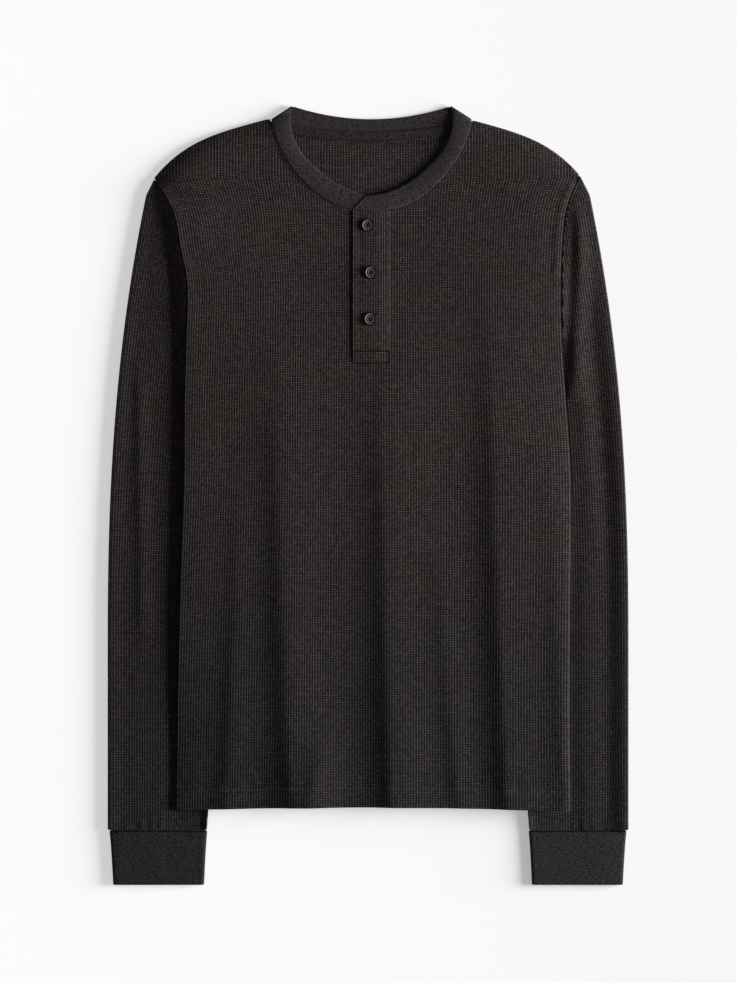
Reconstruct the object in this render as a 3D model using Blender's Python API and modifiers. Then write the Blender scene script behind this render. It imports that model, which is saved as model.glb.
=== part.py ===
"""A long-sleeved waffle-knit henley laid flat, face up, its sleeves folded in under the body.

The floor is z = 0 and the collar points to +Y. The origin is on the floor under the middle of
the shirt. The back panel lies on the floor and climbs over the two sleeves; the front panel
lies over it with soft folds that grow towards the hem. Neighbours stand SEAM_GAP apart.
Sizes are millimetres, and each mesh is turned into metres as it is made.
"""

import math
from collections import namedtuple
from functools import partial

import bmesh
import bpy

MM = 0.001

# Cloth
WAFFLE_WALL = 1.5
RIB_WALL = 2.0
TAPE_WALL = 1.0
SEAM_GAP = 0.35
PLY_GAP = 0.3
SHOULDER_CORNER_GAP = 1.3

# Body
HEM_AT_SIDES = -314.0
HEM_AT_MIDDLE = -310.5
BACK_HEM_RISE = 1.5
PLACKET_FOOT = 136.0
SHOULDER_POINT = 318.0
SHOULDER_START_X = 98.0
SHOULDER_START_Y = 378.0
SHOULDER_SLOPE = 0.27
SHOULDER_DROOP = 1.56e-7
NECK_X = 3.5
BACK_NECK_SEAM = 358.0
BACK_NECK_SEAM_RISE = 19.0
BACK_NECK_EDGE = 377.3
BACK_NECK_EDGE_RISE = 13.2
BAND_FOLD_CLEARANCE = 2.9
BAND_FOLD_REACH = 16.0

# Levels: how high each layer lies
SLEEVE_TUCKED = 4.4
SLEEVE_HEIGHTS = {-1: 5.0, 1: 6.4}
SLEEVE_TUCK_REACH = 13.0
SLEEVE_FLUSH_REACH = 17.0
BACK_OVER_SLEEVE = 4.7
BACK_CLIMB_FOOT = 19.0
BACK_CLIMB_TOP = 3.0
BACK_EDGE_REACH = 20.0
FRONT_AT_SIDE = 6.55
FRONT_CROWN = 1.7
CROWN_REACH = 14.0
FOLD_REACH = 28.0
FOLD_REACH_PAST_RIGHT = 21.0
FRONT_AT_SHOULDER = 1.85
SHOULDER_ROLL = 34.0
ROLL_POWER = 2.4
LEFT_EDGE_LIFT = 2.4
LEFT_EDGE_REACH = 30.0
RIGHT_LIP = 3.4
RIGHT_LIP_REACH = 20.0
CHEST_DROP = 2.6
UNDERARM_DIP = 14.0

# Stretches over which something comes in or dies out, each from where it starts to its end.
# They run up the body (y), but for the last two: across it (x), and away from the neck's middle
LEFT_LIFT_COMES = (-240.0, -120.0)
LEFT_LIFT_GOES = (330.0, 270.0)
RIGHT_LIP_COMES = (20.0, -180.0)
CHEST_DROP_COMES = (205.0, 265.0)
NECK_DROP_COMES = (150.0, 250.0)
DROP_GOES = (384.0, 344.0)
UNDERARM_LIFT_GOES = (200.0, 255.0)
UNDERARM_DIP_COMES = (105.0, 140.0)
SLEEVE_FOLD_COMES = (270.0, 180.0)
SLEEVE_RIM_COMES = (240.0, 160.0)
CHEST_DROP_ACROSS = (-195.0, -125.0)
NECK_DROP_ACROSS = (175.0, 35.0)

# Sleeves and cuffs
SLEEVE_END = -334.0
SLEEVE_OUTER = 260.5
SLEEVE_TAPER = 38.5
SLEEVE_TAPER_FROM = 301.0
SLEEVE_TAPER_LENGTH = 450.0
SLEEVE_TAPER_POWER = 2.41
SLEEVE_INNER_END = 160.0
SLEEVE_INNER_TOP = 136.0
SLEEVE_TURN = 84.0
SLEEVE_EDGE_HEIGHT = 4.2
SLEEVE_RIM_HEIGHTS = {-1: 5.0, 1: 6.8}
SLEEVE_FOLD_IN = 21.0
SLEEVE_FOLD_DEPTH = 1.3
SLEEVE_FOLD_WIDTH = 8.0
CUFF_LENGTH = 54.5
CUFF_GAP = 0.5
CUFF_HEIGHT = 5.4
CUFF_EDGE_HEIGHT = 5.0
CUFF_OUTER = 259.0
CUFF_OUTER_END = 255.0
CUFF_INNER = 160.5
CUFF_INNER_END = 164.0
CUFF_TAPER_POWER = 0.7

# Neckband and tape
BAND_LIFT = 0.6
BAND_LIFT_REACH = 9.0
BAND_LIFT_FROM = 340.0
TAPE_REACH = 79.0
TAPE_TOP = 364.0
TAPE_RISE = 8.0
TAPE_WIDTH = 10.0

# Placket and buttons
SLIT_HALF = 18.5
PLACKET_HALF = 19.2
PLACKET_END = 132.6
PLACKET_LIFT = 1.0
PLACKET_EDGE_REACH = 12.0
BUTTON_HOLE_RADIUS = 0.8
BUTTON_HOLE_OUT = 1.6
BUTTON_STEPS = 24
BUTTON_SEAT = 0.45
DRILL_LENGTH = 8.0
DRILL_MIDDLE = 1.2
DRILL_SIDES = 8

# The button's outline from the middle of its top, over the rim and under: out and up
BUTTON_PROFILE = (
    (0.0, 2.0), (3.7, 2.0), (4.3, 2.7), (5.2, 2.8),
    (5.9, 2.2), (6.0, 1.4), (4.6, 0.1), (0.0, 0.0),
)

# Where the buttons are sewn on, from the neck down
Button = namedtuple("Button", "name x y")
BUTTONS = (
    Button("button_1", 0.0, 270.6),
    Button("button_2", 3.1, 223.1),
    Button("button_3", 2.4, 176.5),
)

# How finely the surfaces are divided
LOWER_ROWS = 20
ARMHOLE_ROWS = 10
SHOULDER_COLUMNS = 10
NECK_COLUMNS = 9
SLIT_COLUMNS = 5
PLACKET_COLUMNS = 5
PLACKET_ROWS = 9
TAPE_COLUMNS = 12
CLIMB_COLUMNS = 4
OVER_SLEEVE_COLUMNS = 3
BACK_LOWER_ROWS = 9
BACK_NECK_COLUMNS = 12
SLEEVE_RINGS = 15
CUFF_RINGS = 4
CUFF_COLUMNS = 6
END_ARC = 4
END_REACH = 9.0
FOLD_OVER = 4

# Shares of the sleeve's width beside the body, and then of the rest under it, where it has points
BESIDE_BODY = (0.2, 0.38, 0.55, 0.7, 0.85, 1)
UNDER_BODY = (0.35, 0.7)
BODY_EDGE_CLEARANCE = 1.5

CHARCOAL = (0.020, 0.019, 0.018)
RIB_CHARCOAL = (0.024, 0.023, 0.023)
TAPE_CHARCOAL = (0.030, 0.030, 0.030)
BUTTON_BLACK = (0.012, 0.012, 0.012)

# The body's side edges and armhole seams, from the hem to the shoulder point
Edge = namedtuple("Edge", "y left right")
BODY_EDGES = (
    Edge(-314, -192.0, 201.0),
    Edge(-204, -190.5, 200.0),
    Edge(-104, -188.0, 201.0),
    Edge(20, -184.0, 202.0),
    Edge(96, -183.5, 197.5),
    Edge(153, -182.0, 193.5),
    Edge(213, -181.0, 192.8),
    Edge(245, -187.0, 194.0),
    Edge(280, -193.5, 197.0),
    Edge(300, -202.5, 202.5),
    Edge(318, -214.0, 211.0),
)

# The neckband from its fold on the shoulder to the placket: seam and free edge,
# across from the middle of the neck
Neck = namedtuple("Neck", "seam_x seam_y edge_x edge_y")
NECK_SECTIONS = (
    Neck(100.5, 377.0, 79.5, 390.5),
    Neck(97.5, 363.0, 80.8, 373.0),
    Neck(92.0, 348.0, 76.5, 356.0),
    Neck(82.0, 331.0, 68.5, 342.0),
    Neck(68.0, 313.5, 56.5, 329.5),
    Neck(50.0, 298.7, 41.5, 317.0),
    Neck(33.0, 290.0, 27.0, 308.5),
    Neck(18.5, 286.4, 14.0, 303.6),
)
LEFT_END = Neck(18.5, 286.4, 5.2, 300.1)
RIGHT_END = (Neck(0.0, 284.9, 4.5, 301.4), Neck(-18.1, 286.4, -4.8, 299.9))

# How the sleeve turns down from the armhole: the heights of a section's two ends, how far
# its inner end is tucked in under the body, and how much it keeps of the armhole's curve
Turn = namedtuple("Turn", "outer_y inner_y tuck bend")
SLEEVE_TURNS = (
    Turn(318, 154, 0, 1.0),
    Turn(287, 146, -1, 0.65),
    Turn(252, 137, 1, 0.4),
    Turn(215, 127, 7, 0.2),
    Turn(178, 116, 17, 0.08),
    Turn(143, 102, 33, 0.0),
    Turn(108, 84, 47, 0.0),
)
Section = namedtuple("Section", "outer_y inner_y inner_x bend")

# Folds of the front. Each is a ridge: its crest crosses the hem at hem_x, leans to top_x
# and dies out at top_y; the flanks are its widths to the left and right
Fold = namedtuple("Fold", "hem_x top_x top_y height left right")
FRONT_FOLDS = (
    Fold(-141, -128, 50, 2.8, 13, 30),
    Fold(-73, -90, 180, 6.8, 21, 50),
    Fold(-56, -46, -215, 3.4, 15, 26),
    Fold(26, 16, 150, 7.6, 20, 60),
    Fold(94, 72, -10, 3.4, 15, 30),
    Fold(142, 125, 230, 8.2, 21, 120),
    Fold(200, 184, 80, 3.0, 16, 60),
)
FOLD_LEAN = 1.7
FOLD_FADE = 0.5

Point = namedtuple("Point", "x y z")


def clamp(value, low=0.0, high=1.0):
    return min(max(value, low), high)


def ease(t):
    """0 to 1 with a soft start and a soft end."""
    t = clamp(t)
    return t * t * (3 - 2 * t)


def step(value, start, end):
    """0 where value is at start and 1 where it is at end, soft at both."""
    return ease((value - start) / (end - start))


def mix(a, b, t):
    return a + (b - a) * t


def spread(start, end, parts):
    """Evenly spaced values from start to end, both included."""
    return [mix(start, end, k / parts) for k in range(parts + 1)]


def through(points, at):
    """A smooth curve through (place, value) points that are in rising order of place."""
    last = len(points) - 1
    k = 0
    while k < last - 1 and at > points[k + 1][0]:
        k += 1

    def slope(i):
        before, after = points[max(i - 1, 0)], points[min(i + 1, last)]
        return (after[1] - before[1]) / (after[0] - before[0])

    (x0, y0), (x1, y1) = points[k], points[k + 1]
    span = x1 - x0
    t = clamp((at - x0) / span)
    rise = t * t * (3 - 2 * t)
    return mix(y0, y1, rise) + span * t * (1 - t) * (slope(k) * (1 - t) - slope(k + 1) * t)


# Outline of the body


def side_left(y):
    return through([(edge.y, edge.left) for edge in BODY_EDGES], y)


def side_right(y):
    return through([(edge.y, edge.right) for edge in BODY_EDGES], y)


def side(y, sign):
    """Distance of the body's edge from the middle, on the left (sign -1) or the right."""
    return -side_left(y) if sign < 0 else side_right(y)


def hem(x):
    return mix(HEM_AT_MIDDLE, HEM_AT_SIDES, clamp(abs(x) / 190) ** 2)


def shoulder(x):
    """The shoulder line, which droops towards the arm."""
    out = abs(x) - SHOULDER_START_X
    return SHOULDER_START_Y - SHOULDER_SLOPE * out - SHOULDER_DROOP * max(out, 0) ** 4


def neck_section(place):
    """The front neckband's section at a place counted in rows of NECK_SECTIONS."""
    rows = range(len(NECK_SECTIONS))
    values = [through([(k, NECK_SECTIONS[k][column]) for k in rows], place) for column in range(4)]
    return Neck(*values)


def back_neck_seam(across):
    return BACK_NECK_SEAM + BACK_NECK_SEAM_RISE * (across / NECK_SECTIONS[0].seam_x) ** 2


def back_neck_edge(across):
    return BACK_NECK_EDGE + BACK_NECK_EDGE_RISE * (across / NECK_SECTIONS[0].edge_x) ** 2


def armhole(row, sign):
    """A point of the armhole seam, counted in rows up from the placket's foot."""
    y = mix(PLACKET_FOOT, SHOULDER_POINT, row / ARMHOLE_ROWS)
    return sign * side(y, sign), y


# Heights of the surfaces


def fold_height(x, y):
    """What the folds add to the front panel."""
    total = 0.0
    for fold in FRONT_FOLDS:
        up = clamp((y - HEM_AT_SIDES) / (fold.top_y - HEM_AT_SIDES))
        crest = mix(fold.hem_x, fold.top_x, 1 - (1 - up) ** FOLD_LEAN)
        width = fold.left if x < crest else fold.right
        strength = (1 - ease(up)) ** FOLD_FADE
        total += fold.height * strength / (1 + ((x - crest) / width) ** 2) ** 1.5
    return total


def shoulder_rise(x, y):
    """0 on the shoulder line, 1 where the front has rolled up to its full level."""
    down = (shoulder(x) - y) * math.cos(math.atan(SHOULDER_SLOPE))
    return 1 - (1 - clamp(down / SHOULDER_ROLL)) ** ROLL_POWER


def edge_lift(x, y):
    """How much higher the front lies along its left edge and along its lower right edge."""
    left = LEFT_EDGE_LIFT * math.exp(-max(x - side_left(y), 0) / LEFT_EDGE_REACH)
    right = RIGHT_LIP * math.exp(-max(side_right(y) - x, 0) / RIGHT_LIP_REACH)
    left *= step(y, *LEFT_LIFT_COMES) * step(y, *LEFT_LIFT_GOES)
    return left + right * step(y, *RIGHT_LIP_COMES)


def chest_drop(x, y):
    """How much lower the front lies on the chest and round the neck, with no sleeve beneath."""
    on_chest = step(y, *CHEST_DROP_COMES) * step(x, *CHEST_DROP_ACROSS)
    near_neck = step(y, *NECK_DROP_COMES) * step(abs(x - NECK_X), *NECK_DROP_ACROSS)
    return CHEST_DROP * (on_chest + near_neck) * step(y, *DROP_GOES)


def front_under(x, y):
    """Height of the front panel's underside."""
    from_left, from_right = x - side_left(y), side_right(y) - x
    crown = FRONT_CROWN * (1 - math.exp(-max(min(from_left, from_right), 0) / CROWN_REACH))
    kept = ease(min(from_left, from_right + FOLD_REACH_PAST_RIGHT) / FOLD_REACH)
    full = FRONT_AT_SIDE + crown + fold_height(x, y) * kept + edge_lift(x, y) - chest_drop(x, y)
    return mix(FRONT_AT_SHOULDER, full, shoulder_rise(x, y))


def front_top(x, y):
    return front_under(x, y) + WAFFLE_WALL


def sleeve_inner(y):
    """Distance from the middle of the sleeve's inner edge, which is hidden under the body."""
    down = (SLEEVE_TURN - y) / (SLEEVE_TURN - SLEEVE_END)
    return mix(SLEEVE_INNER_TOP, SLEEVE_INNER_END, clamp(down) ** 0.9)


def sleeve_outer(y):
    down = clamp((SLEEVE_TAPER_FROM - y) / SLEEVE_TAPER_LENGTH)
    above = max(y - SLEEVE_TAPER_FROM, 0)
    return SLEEVE_OUTER - SLEEVE_TAPER * (1 - down) ** SLEEVE_TAPER_POWER - 0.5 * above


def underarm_lift(y):
    """1 where the body lies over a sleeve, 0 where back and sleeve meet at the armhole."""
    return 1 - step(y, *UNDERARM_LIFT_GOES)


def sleeve_rim(y, sign):
    """Height of the sleeve's outer edge."""
    return mix(SLEEVE_EDGE_HEIGHT, SLEEVE_RIM_HEIGHTS[sign], step(y, *SLEEVE_RIM_COMES))


def sleeve_top(x, y, sign):
    """Height of the sleeve: low under the body's edge, flush with the front at the armhole."""
    outside = sign * x - side(min(y, SHOULDER_POINT), sign)
    from_edge = sleeve_outer(y) - sign * x - SLEEVE_FOLD_IN
    trough = SLEEVE_FOLD_DEPTH * math.exp(-((from_edge / SLEEVE_FOLD_WIDTH) ** 2))
    trough *= step(y, *SLEEVE_FOLD_COMES) * (sign > 0)
    height = SLEEVE_HEIGHTS[sign] - trough
    lift = underarm_lift(y)
    by_underarm = UNDERARM_DIP * step(y, *UNDERARM_DIP_COMES)
    risen = ease((outside - 1 - by_underarm) / SLEEVE_TUCK_REACH)
    height = mix(height, SLEEVE_TUCKED, lift * (1 - risen))
    flush = front_top(sign * side(min(y, SHOULDER_POINT), sign), min(y, SHOULDER_POINT))
    return mix(height, flush, (1 - lift) * (1 - ease(outside / SLEEVE_FLUSH_REACH)))


# Making meshes


def new_material(name, colour, roughness):
    material = bpy.data.materials.new(name)
    material.use_nodes = True
    shader = material.node_tree.nodes["Principled BSDF"]
    shader.inputs["Base Color"].default_value = (*colour, 1)
    shader.inputs["Roughness"].default_value = roughness
    shader.inputs["Metallic"].default_value = 0
    material.diffuse_color = (*colour, 1)
    return material


def finish_piece(name, mesh, colour):
    mesh.shade_smooth()
    mesh.materials.append(new_material(name, colour, 0.95))
    piece = bpy.data.objects.new(name, mesh)
    parts.objects.link(piece)
    return piece


def sheet(name, sections, wall, colour, left_out=None):
    """A panel through sections of points on its outer face, with Solidify for its wall.

    left_out says which cells, by section and point, are cut away.
    """
    mesh = bpy.data.meshes.new(name)
    build = bmesh.new()
    grid = [[build.verts.new([v * MM for v in point]) for point in row] for row in sections]
    for i in range(len(grid) - 1):
        for j in range(len(grid[0]) - 1):
            if not (left_out and left_out(i, j)):
                corners = (grid[i][j], grid[i + 1][j], grid[i + 1][j + 1], grid[i][j + 1])
                build.faces.new(corners)
    loose = [vertex for vertex in build.verts if not vertex.link_faces]
    bmesh.ops.delete(build, geom=loose, context="VERTS")
    build.to_mesh(mesh)
    build.free()
    solidify = finish_piece(name, mesh, colour).modifiers.new("wall", "SOLIDIFY")
    solidify.thickness = wall * MM
    solidify.offset = -1
    solidify.use_even_offset = True
    solidify.use_quality_normals = True


# Panels


def column_x(mark, y, *, sign):
    """Where a column of the panel runs. Marks up to 1 go from the middle to the neck's
    corner at a fixed x; from 1 to 2 they spread from there to the side edge."""
    corner = NECK_X * sign + NECK_SECTIONS[0].seam_x
    if mark <= 1:
        return sign * corner * mark
    return sign * mix(corner, side(min(y, SHOULDER_POINT), sign), mark - 1)


def column_top(mark, sign, neck_top):
    """The top of a column: the shoulder line, or neck_top(across) inside the neck."""
    x = column_x(mark, SHOULDER_POINT, sign=sign)
    if mark > 1:
        return mix(shoulder(x), SHOULDER_POINT, ease((mark - 1.98) / 0.02))
    return neck_top(abs(x - NECK_X))


def seam_at(across):
    """Height of the front neck seam, the place searched for in NECK_SECTIONS."""
    low, high = 0.0, len(NECK_SECTIONS) - 1.0
    for _ in range(30):
        middle = (low + high) / 2
        if neck_section(middle).seam_x > across:
            low = middle
        else:
            high = middle
    return neck_section(low).seam_y


def neck_marks(columns):
    """Marks of the columns that end on the front neck seam, from the slit to the shoulder."""
    last = len(NECK_SECTIONS) - 1
    return [neck_section(mix(last, 0, k / columns)).seam_x for k in range(columns + 1)]


def panel_column(x_at, foot, chest, top, lower_rows, upper_rows, height):
    """Points up one column of a panel, in two stretches that meet at the chest line."""
    levels = spread(foot, chest, lower_rows) + spread(chest, top, upper_rows)[1:]
    return [Point(x_at(y), y, height(x_at(y), y)) for y in levels]


def front_columns():
    """Columns of the front from left to right, and the numbers of those beside the slit."""
    columns = []
    for sign in (-1, 1):
        corner = NECK_X * sign + NECK_SECTIONS[0].seam_x
        own = []
        for across in neck_marks(NECK_COLUMNS):
            mark = (sign * NECK_X + across) / corner
            top = seam_at(across) - SEAM_GAP
            own.append((mark, top))
        for k in range(1, SHOULDER_COLUMNS + 1):
            mark = 1 + k / SHOULDER_COLUMNS
            own.append((mark, column_top(mark, sign, seam_at)))
        points = []
        for mark, top in own:
            x_at = partial(column_x, mark, sign=sign)
            foot = hem(x_at(HEM_AT_SIDES))
            points.append(
                panel_column(x_at, foot, PLACKET_FOOT, top, LOWER_ROWS, ARMHOLE_ROWS, front_top)
            )
        columns.append(points)
    left, right = columns
    left.reverse()
    middle = []
    for k in range(1, SLIT_COLUMNS):
        x = NECK_X + mix(-SLIT_HALF, SLIT_HALF, k / SLIT_COLUMNS)
        middle.append(
            panel_column(lambda y, x=x: x, hem(x), PLACKET_FOOT, seam_at(SLIT_HALF),
                         LOWER_ROWS, ARMHOLE_ROWS, front_top)
        )
    slit = (len(left) - 1, len(left) - 1 + SLIT_COLUMNS)
    return left + middle + right, slit


def make_front():
    columns, (slit_left, slit_right) = front_columns()

    def in_slit(i, j):
        return slit_left <= i < slit_right and j >= LOWER_ROWS

    sheet("front", columns, WAFFLE_WALL, CHARCOAL, left_out=in_slit)


def back_step_x(y, share):
    """The back's climb over a sleeve, from its foot (0) to its top (1)."""
    return sleeve_inner(y) - mix(BACK_CLIMB_FOOT, BACK_CLIMB_TOP, share)


def back_top(x, y):
    """Height of the back's upper face: over the sleeves, and up to the front at the sides."""
    sign = -1 if x < 0 else 1
    edge = side(y, sign)
    over_sleeve = BACK_OVER_SLEEVE * step(abs(x), back_step_x(y, 0), back_step_x(y, 1))
    at_edge = front_under(sign * edge, y) - SEAM_GAP
    raised = mix(WAFFLE_WALL + over_sleeve, at_edge, step(abs(x), edge - BACK_EDGE_REACH, edge))
    return mix(WAFFLE_WALL, raised, underarm_lift(y))


def make_back():
    """The back panel: columns to the neck, on the climb at each side and over the sleeves."""
    corner = NECK_SECTIONS[0].seam_x
    columns = []

    def add(x_at, top):
        foot = hem(x_at(HEM_AT_SIDES)) + BACK_HEM_RISE
        columns.append(
            panel_column(x_at, foot, PLACKET_FOOT, top, BACK_LOWER_ROWS, ARMHOLE_ROWS, back_top)
        )

    def outer_columns(sign):
        own = []
        for share in spread(0, 1, CLIMB_COLUMNS):
            own.append(lambda y, share=share: sign * back_step_x(y, share))
        for share in spread(0, 1, OVER_SLEEVE_COLUMNS)[1:]:
            own.append(lambda y, share=share: sign * mix(back_step_x(y, 1), side(y, sign), share))
        return own

    def shoulder_top(x_at):
        return shoulder(x_at(SHOULDER_POINT))

    left = outer_columns(-1)
    left.reverse()
    add(left[0], SHOULDER_POINT)
    for x_at in left[1:]:
        add(x_at, shoulder_top(x_at))
    for across in spread(-corner, corner, BACK_NECK_COLUMNS):
        clear_of_fold = BAND_FOLD_CLEARANCE * step(abs(across), corner - BAND_FOLD_REACH, corner)
        top = back_neck_seam(across) - SEAM_GAP - clear_of_fold
        add(lambda y, x=NECK_X + across: x, top)
    right = outer_columns(1)
    for x_at in right[:-1]:
        add(x_at, shoulder_top(x_at))
    add(right[-1], SHOULDER_POINT)
    sheet("back", columns, WAFFLE_WALL, CHARCOAL)


# Sleeves and cuffs


def flat_tube(across, place, top, edge_heights, wall):
    """The outer and inner loops of one section through a flattened tube that lies on the floor.

    across gives the places of its points as shares of its width, place turns a share into x
    and y, top gives the height there, and edge_heights are those of its two rounded edges.
    """
    width = math.dist(place(0), place(1))
    first_edge, last_edge = edge_heights
    first, last = first_edge / 2 / width, 1 - last_edge / 2 / width
    loops = []
    for inset in (0.0, wall):
        upper = [(first, first_edge - inset)]
        for share in across:
            edge = first_edge if share < 0.5 else last_edge
            inside = min(share - first, last - share) * width
            height = mix(edge, top(*place(share)), ease(inside / END_REACH))
            upper.append((share, height - inset))
        upper.append((last, last_edge - inset))
        lower = [(share, inset) for share, _ in reversed(upper)]
        angles = [math.pi * k / END_ARC for k in range(1, END_ARC)]
        far_end = [(last + (last_edge / 2 - inset) / width * math.sin(angle),
                    last_edge / 2 + (last_edge / 2 - inset) * math.cos(angle)) for angle in angles]
        near_end = [(first - (first_edge / 2 - inset) / width * math.sin(angle),
                     first_edge / 2 - (first_edge / 2 - inset) * math.cos(angle))
                    for angle in angles]
        loops.append([Point(*place(share), z) for share, z in upper + far_end + lower + near_end])
    return loops


def tube(name, sections, colour):
    """A cloth tube through sections, each with an outer and an inner loop of equal length."""
    mesh = bpy.data.meshes.new(name)
    build = bmesh.new()
    walls = []
    for side_of_wall in (0, 1):
        walls.append([[build.verts.new([v * MM for v in point]) for point in section[side_of_wall]]
                      for section in sections])
    outer, inner = walls
    count = len(outer[0])
    for j in range(count):
        after = (j + 1) % count
        for i in range(len(sections) - 1):
            build.faces.new((outer[i][j], outer[i + 1][j], outer[i + 1][after], outer[i][after]))
            build.faces.new((inner[i][after], inner[i + 1][after], inner[i + 1][j], inner[i][j]))
        build.faces.new((outer[0][after], inner[0][after], inner[0][j], outer[0][j]))
        build.faces.new((outer[-1][j], inner[-1][j], inner[-1][after], outer[-1][after]))
    build.to_mesh(mesh)
    build.free()
    finish_piece(name, mesh, colour)


def sleeve_ring(section, sign):
    """A ring of the sleeve, from its fold on the outer side to its hidden inner fold."""
    first, last = armhole(ARMHOLE_ROWS, sign), armhole(1, sign)
    outer_x = abs(first[0]) if section.outer_y == SHOULDER_POINT else sleeve_outer(section.outer_y)
    outer = (sign * outer_x, section.outer_y)
    inner = (sign * section.inner_x, section.inner_y)

    def place(share):
        row = mix(ARMHOLE_ROWS, 1, share)
        below = min(int(row), ARMHOLE_ROWS - 1)
        seam = [mix(a, b, row - below)
                for a, b in zip(armhole(below, sign), armhole(below + 1, sign))]
        chord = [mix(a, b, share) for a, b in zip(first, last)]
        x = mix(outer[0], inner[0], share) + section.bend * (seam[0] - chord[0])
        y = mix(outer[1], inner[1], share) + section.bend * (seam[1] - chord[1])
        gap = mix(SHOULDER_CORNER_GAP, SEAM_GAP, ease(4 * share)) * section.bend
        return x + sign * gap, y

    def top(x, y):
        height = sleeve_top(x, y, sign)
        if y < UNDERARM_LIFT_GOES[0] and sign * x < side(y, sign) + 1:
            height = min(height, SLEEVE_TUCKED)
        return height

    reach = abs(outer[0] - inner[0])
    beside_width = abs(outer[0]) - side(section.inner_y, sign) - BODY_EDGE_CLEARANCE
    body_edge = clamp(beside_width / reach)
    beside = [body_edge * part for part in BESIDE_BODY]
    beside += [mix(body_edge, 1, part) for part in UNDER_BODY]
    seam_shares = spread(0, 1, ARMHOLE_ROWS - 1)[1:-1]
    shares = [mix(a, b, section.bend ** 0.5) for a, b in zip(beside, seam_shares)]
    edge_heights = (sleeve_rim(section.outer_y, sign), SLEEVE_EDGE_HEIGHT)
    return flat_tube(shares, place, top, edge_heights, WAFFLE_WALL)


def sleeve_sections(sign):
    """The turned sections of the table, then straight ones down to the cuff."""
    under = armhole(1, sign)
    sections = []
    for row in SLEEVE_TURNS:
        inner_y = min(row.inner_y, under[1])
        sections.append(Section(row.outer_y, inner_y, abs(under[0]) - row.tuck, row.bend))
    lowest = SLEEVE_TURNS[-1]
    for share in spread(0, 1, SLEEVE_RINGS)[1:]:
        outer_y = mix(lowest.outer_y, SLEEVE_END, share)
        inner_y = mix(lowest.inner_y, SLEEVE_END, share)
        sections.append(Section(outer_y, inner_y, sleeve_inner(inner_y), 0.0))
    return sections


def make_sleeve(name, sign):
    rings = [sleeve_ring(section, sign) for section in sleeve_sections(sign)]
    if sign > 0:
        rings.reverse()
    tube(name, rings, CHARCOAL)


def make_cuff(name, sign):
    """A doubled rib tube, a little narrower than the sleeve and drawn in at its end."""
    rings = []
    for along in spread(0, 1, CUFF_RINGS):
        y = SLEEVE_END - CUFF_GAP - CUFF_LENGTH * along
        narrowed = along ** CUFF_TAPER_POWER
        outer = mix(CUFF_OUTER, CUFF_OUTER_END, narrowed)
        inner = mix(CUFF_INNER, CUFF_INNER_END, narrowed)

        def place(share, outer=outer, inner=inner, y=y):
            return sign * mix(outer, inner, share), y

        shares = spread(0, 1, CUFF_COLUMNS)[1:-1]
        edge_heights = (CUFF_EDGE_HEIGHT, CUFF_EDGE_HEIGHT)
        rings.append(flat_tube(shares, place, lambda x, y: CUFF_HEIGHT, edge_heights, RIB_WALL))
    if sign > 0:
        rings.reverse()
    tube(name, rings, RIB_CHARCOAL)


# Neckband, tape and placket


def band_station(section, sign, lift):
    """Three points across the front neckband, from the seam to the free edge."""
    points = []
    for share, crown in ((0, 0), (0.5, 0.4), (1, -0.3)):
        across = mix(section.seam_x, section.edge_x, share)
        y = mix(section.seam_y, section.edge_y, share)
        x = NECK_X + sign * across
        points.append(Point(x, y, front_under(x, y) + RIB_WALL + crown + lift(across, y)))
    return points


def fold_frame(sign):
    """The crease of the neckband on the shoulder: its two ends and the way it bulges."""
    first = NECK_SECTIONS[0]
    seam = (NECK_X + sign * first.seam_x, first.seam_y)
    edge = (NECK_X + sign * first.edge_x, first.edge_y)
    length = math.dist(seam, edge)
    bulge = (sign * (edge[1] - seam[1]) / length, abs(edge[0] - seam[0]) / length)
    return seam, edge, bulge


def band_fold(sign, radius):
    """Stations round the crease, from the front's level down to the floor."""
    seam, edge, bulge = fold_frame(sign)
    stations = []
    for angle in spread(0, math.pi, FOLD_OVER):
        out = radius * (math.sin(angle) - 1)
        z = radius * (1 + math.cos(angle))
        stations.append([
            Point(mix(seam[0], edge[0], share) + bulge[0] * out,
                  mix(seam[1], edge[1], share) + bulge[1] * out, z)
            for share in (0, 0.5, 1)
        ])
    return stations


def make_neckband():
    """One strip: from its right end round the right shoulder, the back and the left."""
    radius = RIB_WALL + SEAM_GAP
    last = len(NECK_SECTIONS) - 1

    def lift_near_fold(across, y):
        if y < BAND_LIFT_FROM:
            return 0
        return BAND_LIFT * math.exp(-((shoulder(NECK_X + across) - y) / BAND_LIFT_REACH) ** 2)

    def lift_right(across, y):
        half_reach = PLACKET_EDGE_REACH / 2
        over_placket = step(across, SLIT_HALF + half_reach, SLIT_HALF - half_reach)
        return lift_near_fold(across, y) + (WAFFLE_WALL + PLY_GAP) * over_placket

    right = [band_station(section, 1, lift_right) for section in reversed(RIGHT_END)]
    right += [band_station(neck_section(mix(last, 0, k / NECK_COLUMNS)), 1, lift_right)
              for k in range(NECK_COLUMNS)]
    back = []
    first = NECK_SECTIONS[0]
    for share in spread(1, -1, BACK_NECK_COLUMNS)[1:-1]:
        seam_x, edge_x = first.seam_x * share, first.edge_x * share
        seam_y, edge_y = back_neck_seam(seam_x), back_neck_edge(edge_x)
        back.append([Point(NECK_X + mix(seam_x, edge_x, s), mix(seam_y, edge_y, s), 0.0)
                     for s in (0, 0.5, 1)])
    left = [band_station(neck_section(mix(last, 0, k / NECK_COLUMNS)), -1, lift_near_fold)
            for k in range(1, NECK_COLUMNS)]
    left.insert(0, band_station(LEFT_END, -1, lift_near_fold))
    left.reverse()
    folded = band_fold(-1, radius)
    folded.reverse()
    strip = right + band_fold(1, radius) + back + folded + left
    sheet("neckband", strip, RIB_WALL, RIB_CHARCOAL)


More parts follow.
